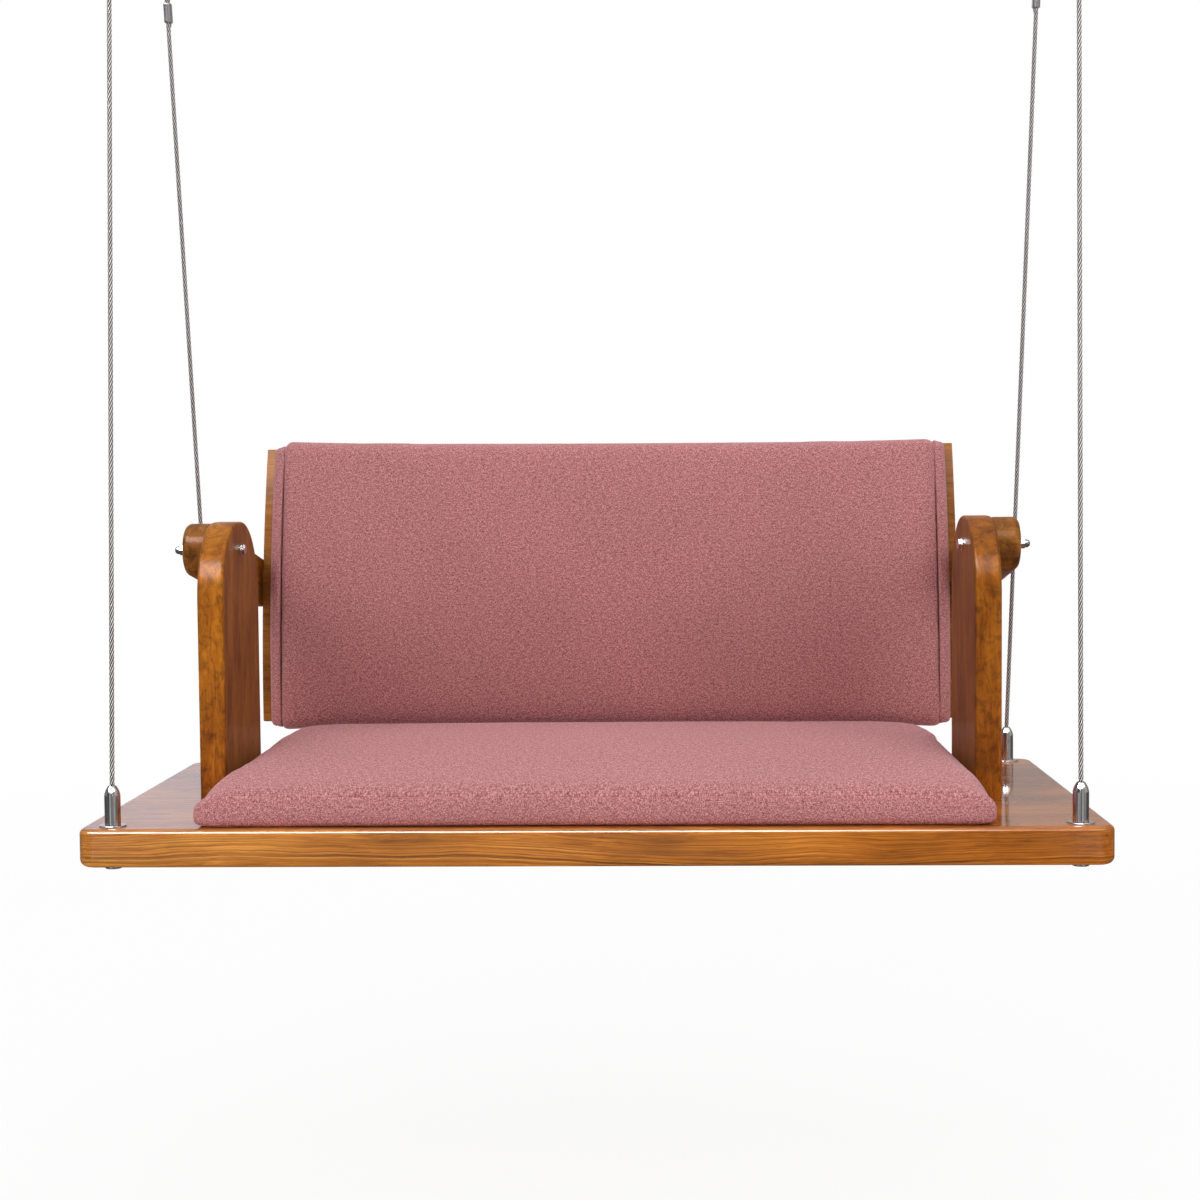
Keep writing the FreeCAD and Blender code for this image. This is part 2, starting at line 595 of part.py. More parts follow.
def arm(side, sx):
    """An arm with round ends, bushed at its front and dowelled to the wooden back."""
    body = new_body(f"arm_{side}")
    half = "sizes.arm_tall / 2"
    blank = sketch_on(body, "YZ_Plane", f"{sx} * {ARM_INNER}")
    box_outline(blank, f"-{half}", f"{BACK_MIDDLE} + sizes.arm_past", f"-{half}", half)
    pad(body, blank, "sizes.arm_thick", backwards=(sx < 0))
    soften(body, "sizes.arm_end_round", lambda e: runs_along(e, "x"))
    outer, inner = sx * value(ARM_OUTER), sx * value(ARM_INNER)
    soften(body, "sizes.arm_outer_round", lambda e: lies_at(e, x=outer))
    soften(body, "sizes.arm_inner_round", lambda e: lies_at(e, x=inner))
    bore = sketch_on(body, "YZ_Plane", f"{sx} * {ARM_INNER}")
    circles(bore, [("0", "0")], f"{BUSH_DIA} + 2 * sizes.hole_play")
    pocket(body, bore, "sizes.arm_thick", backwards=(sx > 0))
    holes = sketch_on(body, "YZ_Plane", f"{sx} * {ARM_INNER}")
    circles(holes, ARM_DOWELS, "sizes.dowel_dia + 2 * sizes.hole_play")
    pocket(body, holes, "sizes.dowel_grip + sizes.hole_play", backwards=(sx > 0))
    tilted(body)


def arm_hardware():
    """Bushes for the pivot bolts and dowels into the wooden back."""
    bushes = new_body("arm_bushes", pieces=True)
    for dia, make in ((BUSH_DIA, pad), ("sizes.pivot_dia + 2 * sizes.bush_play", pocket)):
        on_both_sides(bushes, ARM_INNER, lambda sketch, back: (
            circles(sketch, [("0", "0")], dia),
            make(bushes, sketch, "sizes.arm_thick", backwards=back if make is pad else not back)))
    tilted(bushes)
    dowels = new_body("arm_dowels", pieces=True)
    on_both_sides(dowels, f"{ARM_INNER} - sizes.dowel_grip", lambda sketch, back: (
        circles(sketch, ARM_DOWELS, "sizes.dowel_dia"),
        pad(dowels, sketch, "2 * sizes.dowel_grip", backwards=back)))
    tilted(dowels)


def wooden_back():
    """A bowed board between the arms."""
    body = new_body("backrest_panel")
    half, front, rear = "sizes.back_tall / 2", "sizes.back_reach", "sizes.back_reach + sizes.back_thick"
    radius = f"(({half})^2 + sizes.back_bow^2) / (2 * sizes.back_bow)"
    section = sketch_on(body, "YZ_Plane")
    outline(section, [
        (front, f"-{half}", None), (rear, f"-{half}", (radius, -1)),
        (rear, half, None), (front, half, (radius, 1)),
    ])
    pad(body, section, f"2 * {ARM_INNER}", midway=True)
    end = value(ARM_INNER)
    soften(body, "sizes.back_round", lambda e: runs_along(e, "x"))
    for sx in (-1, 1):
        holes = sketch_on(body, "YZ_Plane", f"{sx} * {ARM_INNER}")
        circles(holes, ARM_DOWELS, "sizes.dowel_dia + 2 * sizes.hole_play")
        pocket(body, holes, "sizes.dowel_grip + sizes.hole_play", backwards=(sx < 0))
    tilted(body)


def soft_piece(label, wires, placement):
    """A closed soft form, lofted through sections that all have the same edges."""
    form = doc.addObject("Part::Feature", label)
    form.Label = label
    form.Shape = Part.makeLoft(wires, True, True)
    form.Placement = placement
    nodes.append(form)


def arc(start, through, end):
    return Part.Arc(start, through, end).toShape()


def line(start, end):
    return Part.LineSegment(start, end).toShape()


def seat_cushion():
    """A crowned cushion whose sides draw in between its corners."""
    half, gap = value(POST_INNER) - size("cushion_side_gap"), size("cushion_gap")
    depth = size("board_depth") / 2 - size("cushion_inset")
    wires = []
    for along, thick, wide in CUSHION_STATION_SHARES:
        x, y, under = along * half, depth * wide, depth * wide - size("cushion_under_round")
        rear, front = size("cushion_rear_edge") * thick, size("cushion_front_edge") * thick
        behind = Vector(x, y - size("cushion_rear_round"), gap + rear)
        ahead = Vector(x, size("cushion_front_round") - y, gap + front)
        crown = Vector(x, size("cushion_crown_back"), gap + size("cushion_crown") * thick)
        wires.append(Part.Wire([
            line(Vector(x, -under, gap), Vector(x, under, gap)),
            arc(Vector(x, under, gap), Vector(x, y, gap + rear / 2), behind),
            arc(behind, crown, ahead),
            arc(ahead, Vector(x, -y, gap + front / 2), Vector(x, -under, gap)),
        ]))
    soft_piece("seat_cushion", wires, Placement(Vector(0, value(BOARD_Y), value(BOARD_Z)), Rotation()))


def backrest_pad():
    """A pad that follows the bowed wood, with a fuller middle and a drawn-in rim."""
    half, tall, drop = value(ARM_INNER) - size("pad_inset"), size("pad_tall") / 2, size("pad_drop")
    bow, wood = size("back_bow"), size("back_tall") / 2
    radius = (wood**2 + bow**2) / (2 * bow)

    def face(height):
        """The front of the wood at this height from its middle, less the gap."""
        return size("back_reach") - size("pad_gap") - bow + radius - math.sqrt(radius**2 - height**2)

    wires = []
    for along, thick, high in STATION_SHARES:
        x, rim, fullness = along * half, size("pad_rim_thick") * thick, size("pad_thick") * thick
        top, foot = tall * high - drop, -tall * high - drop
        upper, lower = top - size("pad_edge_round"), foot + size("pad_edge_round")
        corners = [Vector(x, face(lower), lower), Vector(x, face(upper), upper),
                   Vector(x, face(upper) - rim, upper), Vector(x, face(lower) - rim, lower)]
        wires.append(Part.Wire([
            arc(corners[0], Vector(x, face(0), 0), corners[1]),
            arc(corners[1], Vector(x, face(upper) - rim / 2, top), corners[2]),
            arc(corners[2], Vector(x, face(0) - fullness, 0), corners[3]),
            arc(corners[3], Vector(x, face(lower) - rim / 2, foot), corners[0]),
        ]))
    pivot = Vector(0, value(PIVOT_Y), value(PIVOT_Z))
    soft_piece("backrest_pad", wires, Placement(pivot, Rotation(Vector(1, 0, 0), -size("arm_slope_angle"))))


# Ropes: each is drawn upright with the middle of its lower end at the origin, then leant into place


def rope_lean(ey, sx):
    """The placement of one rope, and the height of its eye along it."""
    end_y = value(f"{BOARD_Y} + {ey} * {FITTING_Y}")
    foot = Vector(sx * value(FITTING_X), end_y, value(f"{BOARD_Z} + {TIP}"))
    pin = Vector(sx * value(PIN_X), ey * value(PIN_Y), -size("pin_depth"))
    if ey < 0:
        eye = pin - (pin - foot).normalize() * (size("eye_inner") - size("pin_dia") / 2 - size("pin_rest"))
    else:
        eye = pin - Vector(0, size("rear_eye_lag"), size("rear_eye_drop"))
    upward = (eye - foot).normalize()
    # the rope runs up in front of the eye's middle, by half of itself and of the gap to its tail
    backward = upward.cross(Vector(1, 0, 0)).normalize()
    upward = (eye - backward * strand_offset() - foot).normalize()
    across = (Vector(1, 0, 0) - upward * upward.x).normalize()
    turn = Rotation(across, upward.cross(across), upward, "ZXY")
    return Placement(foot, turn), (eye - foot).dot(upward)


def strand_offset():
    """How far the rope and its tail each lie from the middle of the sleeve."""
    return (size("rope_dia") + size("strand_gap")) / 2


def half_drop(beside, radius, long):
    """Half a drop shape in its own plane, from its middle: the foot of its straight leg, and the point
    where that leg meets the round."""
    foot = Vector(0, beside, -long)
    lean = math.acos(radius / foot.Length) - math.atan2(long, beside)
    return foot, Vector(0, radius * math.cos(lean), radius * math.sin(lean))


def rope_drop():
    """The rope's own drop shape: its radius, lower corner and the end of its straight leg, and how much
    of the rope on either side of that corner the bend there takes."""
    radius = size("eye_inner") + size("thimble_wall") + size("thimble_play") + size("rope_dia") / 2
    corner, touch = half_drop(strand_offset(), radius, size("eye_long"))
    return radius, corner, touch, BEND_SHARE * min((touch - corner).Length, size("sleeve_long"))


def rope(end, side, placement, height):
    """Wire rope as one tube from its fitting, round the eye and back into the sleeve."""
    thick = size("rope_dia") / 2
    radius, corner, touch, trim = rope_drop()
    leg = (touch - corner).normalize()
    turn = leg.getAngle(Vector(0, 0, 1))
    bend = trim / math.tan(turn / 2)
    before, after = corner - Vector(0, 0, trim), corner + leg * trim
    inward = (leg - Vector(0, 0, 1)).normalize()
    through = corner + inward * (bend / math.cos(turn / 2) - bend)
    tail = corner - Vector(0, 0, trim + size("sleeve_long") + size("tail_out"))
    middle = Vector(0, strand_offset(), height)

    def front(point):
        return middle + Vector(0, -point.y, point.z)

    def rear(point):
        return middle + point

    spine = Part.Wire([
        line(Vector(0, 0, 0), front(before)),
        arc(front(before), front(through), front(after)),
        line(front(after), front(touch)),
        arc(front(touch), middle + Vector(0, 0, radius), rear(touch)),
        line(rear(touch), rear(after)),
        arc(rear(after), rear(through), rear(before)),
        line(rear(before), rear(tail)),
    ])
    tube = Part.BRepOffsetAPI.MakePipeShell(spine)
    tube.add(Part.Wire(Part.makeCircle(thick, Vector(0, 0, 0), Vector(0, 0, 1))))
    tube.build()
    tube.makeSolid()
    solid = tube.shape()
    share = solid.Volume / (math.pi * thick**2 * spine.Length)
    print(f"rope_{end}_{side}: length {spine.Length:.1f}, eye radius {radius:.1f}, bend radius {bend:.1f}, "
          f"gap to its tail {size('strand_gap'):.1f}, volume {share:.4f} of section times length")
    form = doc.addObject("Part::Feature", f"rope_{end}_{side}")
    form.Label = f"rope_{end}_{side}"
    form.Shape = solid.fuse(Part.makeSphere(thick)).removeSplitter()
    form.Placement = placement
    nodes.append(form)


def thimble(end, side, placement, height):
    """A grooved steel eye that the rope lies in: a channel section swept round a drop shape."""
    inner, wide = size("eye_inner"), size("thimble_wide") / 2
    groove = size("rope_dia") / 2 + size("thimble_play")
    floor, lip = inner + size("thimble_wall"), inner + size("thimble_wall") + size("thimble_lip")
    mouth = math.sqrt(groove**2 - (groove - size("thimble_lip")) ** 2)
    middle = Vector(0, strand_offset(), height)
    # the legs run to a point below the eye, each inside the rope's own leg
    foot, touch = half_drop(size("thimble_wall") + size("thimble_lip"), inner, size("leg_long"))
    start = middle + Vector(0, -foot.y, foot.z)
    spine = Part.Wire([
        line(start, middle + Vector(0, -touch.y, touch.z)),
        arc(middle + Vector(0, -touch.y, touch.z), middle + Vector(0, 0, inner), middle + touch),
        line(middle + touch, middle + foot),
    ])
    along = Vector(0, foot.y - touch.y, touch.z - foot.z).normalize()
    outward = Vector(0, -along.z, along.y)

    def at(out, x):
        return start + outward * (out - inner) + Vector(x, 0, 0)

    section = Part.Wire([
        line(at(inner, -wide), at(inner, wide)), line(at(inner, wide), at(lip, wide)),
        line(at(lip, wide), at(lip, mouth)), arc(at(lip, mouth), at(floor, 0), at(lip, -mouth)),
        line(at(lip, -mouth), at(lip, -wide)), line(at(lip, -wide), at(inner, -wide)),
    ])
    form = doc.addObject("Part::Feature", f"thimble_{end}_{side}")
    form.Label = f"thimble_{end}_{side}"
    form.Shape = spine.makePipeShell([section], True, True)
    form.Placement = placement
    nodes.append(form)


def sleeve(end, side, placement, height):
    """A pressed oval sleeve round the rope and its tail."""
    trim = rope_drop()[-1]
    radius, long = size("rope_dia") / 2, size("sleeve_long")
    outer = radius + size("sleeve_wall")
    foot = height - size("eye_long") - trim - long
    ends = [Vector(0, 0, foot), Vector(0, 2 * strand_offset(), foot)]
    block = Part.makeBox(2 * outer, 2 * strand_offset(), long, Vector(-outer, 0, foot))
    oval = block.multiFuse([Part.makeCylinder(outer, long, at) for at in ends]).removeSplitter()
    rims = [e for e in oval.Edges if abs(e.BoundBox.ZLength) < NEAR]
    oval = oval.makeFillet(size("sleeve_round"), rims)
    bore = radius + size("hole_play")
    form = doc.addObject("Part::Feature", f"sleeve_{end}_{side}")
    form.Label = f"sleeve_{end}_{side}"
    form.Shape = oval.cut([Part.makeCylinder(bore, long, at) for at in ends])
    form.Placement = placement
    nodes.append(form)


# Ceiling hangers


def ceiling_plate(end, side, ey, sx):
    """A round plate under the ceiling, with its stud."""
    body = new_body(f"ceiling_plate_{end}_{side}")
    disc = sketch_on(body, "XY_Plane")
    circles(disc, [("0", "0")], "sizes.plate_dia")
    pad(body, disc, "sizes.plate_thick", backwards=True)
    foot = -size("plate_thick")
    soften(body, "sizes.plate_bevel", lambda e: lies_at(e, z=foot), "Chamfer")
    stud = sketch_on(body, "XY_Plane")
    circles(stud, [("0", "0")], "sizes.stud_dia")
    pad(body, stud, "sizes.stud_long")
    place(body, f"{sx} * {PIN_X}", f"{ey} * {PIN_Y}")


def hanger_lugs(end, side, ey, sx):
    """Two lugs welded under a plate, one each side of the rope's eye, bored for the pin."""
    body = new_body(f"hanger_lugs_{end}_{side}", pieces=True)
    half = "sizes.lug_wide / 2"
    on_both_sides(body, "sizes.lug_gap / 2", lambda sketch, back: (
        box_outline(sketch, f"-{half}", half, "-sizes.pin_depth - sizes.lug_below", "-sizes.plate_thick"),
        pad(body, sketch, "sizes.lug_thick", backwards=back)))
    foot = -size("pin_depth") - size("lug_below")
    soften(body, "sizes.lug_round", lambda e: runs_along(e, "x") and lies_at(e, z=foot))
    on_both_sides(body, "sizes.lug_gap / 2", lambda sketch, back: (
        circles(sketch, [("0", "-sizes.pin_depth")], "sizes.pin_dia + 2 * sizes.hole_play"),
        pocket(body, sketch, "sizes.lug_thick", backwards=not back)))
    place(body, f"{sx} * {PIN_X}", f"{ey} * {PIN_Y}")


def hanger_pins():
    """A pin through each pair of lugs, with its head inwards and its nut outwards."""
    spots = [(f"{ey} * {PIN_Y}", "-sizes.pin_depth") for ey in (-1, 1)]
    inner, outer = f"{PIN_X} - {LUG_OUTER}", f"{PIN_X} + {LUG_OUTER}"
    pins = new_body("hanger_pins", pieces=True)
    for start, dia, long in (
        (f"{inner} - sizes.pin_head_tall", "sizes.pin_head_dia", "sizes.pin_head_tall"),
        (inner, "sizes.pin_dia", f"2 * {LUG_OUTER} + sizes.pin_nut_tall + sizes.pin_tail"),
    ):
        on_both_sides(pins, start, lambda sketch, back: (
            circles(sketch, spots, dia), pad(pins, sketch, long, backwards=back)))
    place(pins)
    nuts = new_body("hanger_nuts", pieces=True)
    on_both_sides(nuts, outer, lambda sketch, back: (
        [hexagon(sketch, y, z, "sizes.pin_nut_across") for y, z in spots],
        pad(nuts, sketch, "sizes.pin_nut_tall", backwards=back)))
    on_both_sides(nuts, outer, lambda sketch, back: (
        circles(sketch, spots, "sizes.pin_dia + 2 * sizes.hole_play"),
        pocket(nuts, sketch, "sizes.pin_nut_tall", backwards=not back)))
    place(nuts)


def check(thing):
    if "Invalid" in thing.State or "Error" in thing.State:
        raise RuntimeError(f"{thing.Label} failed: {thing.State}")


seat_board()
post_fasteners()
for side, sx in SIDES:
    post(side, sx)
for end, side, ey, sx in CORNERS:
    rope_fitting(end, side, ey, sx)
fitting_hardware()
pivot_hardware()
for side, sx in SIDES:
    arm(side, sx)
arm_hardware()
wooden_back()
backrest_pad()
seat_cushion()
for end, side, ey, sx in CORNERS:
    lean, eye_height = rope_lean(ey, sx)
    rope(end, side, lean, eye_height)
    thimble(end, side, lean, eye_height)
    sleeve(end, side, lean, eye_height)
for end, side, ey, sx in CORNERS:
    ceiling_plate(end, side, ey, sx)
    hanger_lugs(end, side, ey, sx)
hanger_pins()
doc.recompute()

for thing in doc.Objects:
    check(thing)
for node in nodes:
    if node.Shape.isNull() or not node.Shape.isValid():
        raise RuntimeError(f"{node.Label} has a bad shape")

os.makedirs("parts", exist_ok=True)
for node in nodes:
    node.Shape.exportStep(f"parts/{node.Label}.step")
print(f"{len(nodes)} nodes, {sum(len(node.Shape.Solids) for node in nodes)} solids")
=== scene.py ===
"""Ceiling-hung bench swing: the looks of its wood, upholstery, wire ropes and fittings, on the fixed CAD frame."""
import math

import bpy
import numpy as np
from bpy.props import FloatProperty, FloatVectorProperty, IntProperty, PointerProperty
from mathutils import Matrix, Vector


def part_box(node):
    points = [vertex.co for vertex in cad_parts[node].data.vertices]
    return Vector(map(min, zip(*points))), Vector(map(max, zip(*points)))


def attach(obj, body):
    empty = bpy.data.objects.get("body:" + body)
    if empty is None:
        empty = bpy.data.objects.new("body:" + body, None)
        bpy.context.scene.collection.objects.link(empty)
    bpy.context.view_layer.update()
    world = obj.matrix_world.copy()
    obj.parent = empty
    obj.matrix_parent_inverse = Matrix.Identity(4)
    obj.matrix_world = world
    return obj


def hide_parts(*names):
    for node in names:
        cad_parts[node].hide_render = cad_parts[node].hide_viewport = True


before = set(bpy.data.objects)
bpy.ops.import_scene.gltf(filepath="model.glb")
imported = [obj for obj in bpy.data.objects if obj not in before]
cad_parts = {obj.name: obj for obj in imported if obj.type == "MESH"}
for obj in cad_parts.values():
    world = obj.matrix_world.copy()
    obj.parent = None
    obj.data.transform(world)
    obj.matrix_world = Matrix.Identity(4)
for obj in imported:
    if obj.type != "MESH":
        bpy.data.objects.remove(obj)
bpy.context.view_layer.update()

bl_info = {
    "name": "Bench swing finishes",
    "version": (1, 0, 0),
    "blender": (4, 5, 0),
    "location": "3D View > Sidebar > Bench Swing",
    "description": "Upholstery, wire ropes, lacquered wood and metal of a ceiling-hung bench swing",
    "category": "Object",
}

BOARD_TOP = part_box("seat_cushion")[0][2]
QUARTER = math.pi / 2
WHITE = (1, 1, 1, 1)


# What a user would change


class SwingRopes(bpy.types.PropertyGroup):
    """The wire ropes that hang the board from the ceiling."""
    diameter: FloatProperty(name="Rope diameter", description="Across the whole rope", default=0.006,
                            unit="LENGTH", min=0.002, max=0.02)
    lay_length: FloatProperty(name="Lay length", description="How far a strand runs in one turn round the rope",
                              default=0.0395, unit="LENGTH", min=0.01, max=0.1)
    strands: IntProperty(name="Strands", description="Outer strands round the core", default=6, min=3, max=12)
    wires: IntProperty(name="Wires", description="Wires that show on each strand", default=6, min=3, max=12)


class SwingUpholstery(bpy.types.PropertyGroup):
    """The seat cushion and the backrest pad."""
    dark: FloatVectorProperty(name="Dark thread", description="Darkest thread of the cloth", subtype="COLOR",
                              default=(0.223, 0.070, 0.072), min=0, max=1)
    rose: FloatVectorProperty(name="Rose thread", description="Main thread of the cloth", subtype="COLOR",
                              default=(0.505, 0.180, 0.184), min=0, max=1)
    light: FloatVectorProperty(name="Light thread", description="Lightest thread of the cloth", subtype="COLOR",
                               default=(0.776, 0.387, 0.391), min=0, max=1)
    thread: FloatProperty(name="Thread pitch", description="From one thread to the next", default=0.00125,
                          unit="LENGTH", min=0.0004, max=0.005)
    seat_swell: FloatProperty(name="Seat swell", description="Most that the seat cushion swells", default=0.006,
                              unit="LENGTH", min=0, max=0.02)
    pad_swell: FloatProperty(name="Pad swell", description="Most that the backrest pad swells", default=0.005,
                             unit="LENGTH", min=0, max=0.02)
    tilt: FloatProperty(name="Pad tilt", description="How far the pad's cover hangs askew",
                        default=0.0025, unit="LENGTH", min=0, max=0.01)
    band: FloatProperty(name="End band", description="Width of the sewn band at each end of the backrest pad",
                        default=0.013, unit="LENGTH", min=0.005, max=0.04)


class SwingWood(bpy.types.PropertyGroup):
    """The lacquered teak."""
    dark: FloatVectorProperty(name="Dark grain", description="Darkest lines of the grain", subtype="COLOR",
                              default=(0.085, 0.030, 0.006), min=0, max=1)
    middle: FloatVectorProperty(name="Middle grain", description="Main colour of the wood", subtype="COLOR",
                                default=(0.400, 0.140, 0.018), min=0, max=1)
    light: FloatVectorProperty(name="Light grain", description="Lightest parts of the grain", subtype="COLOR",
                               default=(0.580, 0.230, 0.038), min=0, max=1)
    ring: FloatProperty(name="Ring spacing", description="From one growth ring to the next", default=0.0055,
                        unit="LENGTH", min=0.001, max=0.03)


class SwingStage(bpy.types.PropertyGroup):
    """The room that the swing is shown in."""
    floor_below: FloatProperty(name="Floor below", description="From the board's top down to the floor",
                               default=0.50, unit="LENGTH", min=0.1, max=3)
    key: FloatProperty(name="Key lamp", description="Power of the large lamp in front", default=30,
                       unit="POWER", min=0)
    fill: FloatProperty(name="Fill lamp", description="Power of the lamp at the other side", default=15,
                        unit="POWER", min=0)
    top: FloatProperty(name="Top lamp", description="Power of the lamp overhead", default=24,
                       unit="POWER", min=0)
    room: FloatProperty(name="Room light", description="Strength of the light from all round", default=0.62, min=0)


# Laying out materials


class Nodes:
    """Lays out one shader tree, node by node."""

    def __init__(self, tree):
        self.tree = tree

    def node(self, kind, wires=None, **settings):
        """A new node. wires gives each input a socket to link or a value."""
        made = self.tree.nodes.new("ShaderNode" + kind)
        for key, value in settings.items():
            setattr(made, key, value)
        for key, value in (wires or {}).items():
            if isinstance(value, bpy.types.NodeSocket):
                self.tree.links.new(value, made.inputs[key])
            else:
                made.inputs[key].default_value = value
        return made

    def place(self):
        """Where a point lies on its piece, in metres."""
        return self.node("TexCoord").outputs["Object"]

    def mapped(self, vector, scale=(1, 1, 1), location=(0, 0, 0), rotation=(0, 0, 0)):
        return self.node("Mapping", {"Vector": vector, "Scale": scale, "Location": location,
                                     "Rotation": rotation}).outputs[0]

    def noise(self, vector, scale, detail=2.0, roughness=0.5, distortion=0.0, output="Fac"):
        return self.node("TexNoise", {"Vector": vector, "Scale": scale, "Detail": detail, "Roughness": roughness,
                                      "Distortion": distortion}).outputs[output]

    def split(self, vector):
        """The vector's X, Y and Z."""
        return self.node("SeparateXYZ", {0: vector}).outputs

    def length(self, vector):
        return self.node("VectorMath", {0: vector}, operation="LENGTH").outputs["Value"]

    def ramp(self, factor, stops):
        """The colour at factor, from stops of place and colour."""
        made = self.node("ValToRGB", {0: factor})
        points = made.color_ramp.elements
        points[0].position, points[-1].position = stops[0][0], stops[-1][0]
        for place, _ in stops[1:-1]:
            points.new(place)
        for point, (_, colour) in zip(points, stops):
            point.color = (*colour, 1) if len(colour) == 3 else colour
        return made.outputs["Color"]

    def math(self, operation, first, *others):
        """The operation on one value, or on several, one after the other."""
        if not others:
            return self.node("Math", {0: first}, operation=operation).outputs[0]
        for other in others:
            first = self.node("Math", {0: first, 1: other}, operation=operation).outputs[0]
        return first

    def sum_of(self, *shares):
        """The sum of values, each times its share."""
        return self.math("ADD", *(self.math("MULTIPLY", value, share) for value, share in shares))

    def blend(self, factor, a, b, blend_type="MIX"):
        made = self.node("Mix", {0: factor, 6: a, 7: b}, data_type="RGBA", blend_type=blend_type)
        return made.outputs[2]

    def tinted(self, colour, tint, factor=1.0):
        return self.blend(factor, colour, tint, "MULTIPLY")

    def bump(self, height, strength, distance):
        return self.node("Bump", {"Height": height, "Strength": strength, "Distance": distance}).outputs[0]

    def spread(self, value, low, high, at_low=0.0, at_high=1.0):
        """Maps value from low..high to at_low..at_high, and holds it there beyond."""
        return self.node("MapRange", {"Value": value, "From Min": low, "From Max": high, "To Min": at_low,
                                      "To Max": at_high}).outputs[0]


class Finish(Nodes):
    """One procedural material."""

    def __init__(self, name, **sockets):
        self.material = bpy.data.materials.new(name)
        self.material.use_nodes = True
        super().__init__(self.material.node_tree)
        self.shader = self.tree.nodes["Principled BSDF"]
        for socket, value in sockets.items():
            self.shader.inputs[socket.replace("_", " ")].default_value = value

    def into(self, socket, value):
        """Links value to a socket of the shader."""
        self.tree.links.new(value, self.shader.inputs[socket])


def grey(value):
    return (value, value, value)


def scaled(colour, factor):
    """The colour, darker or brighter, with no part over 1."""
    return tuple(min(1, part * factor) for part in colour)


def growth_rings(finish, place, spacing):
    """How far through its growth ring a point lies, from 0 to 1. The tree stands along Z, with uneven rings."""
    ring = finish.math("DIVIDE", finish.length(finish.mapped(place, scale=(1, 1, 0))), spacing)
    uneven = finish.node("TexNoise", {"W": ring, "Scale": 0.9, "Detail": 1.0}, noise_dimensions="1D").outputs["Fac"]
    return finish.math("FRACT", finish.math("ADD", ring, finish.math("MULTIPLY", uneven, 2.6)))


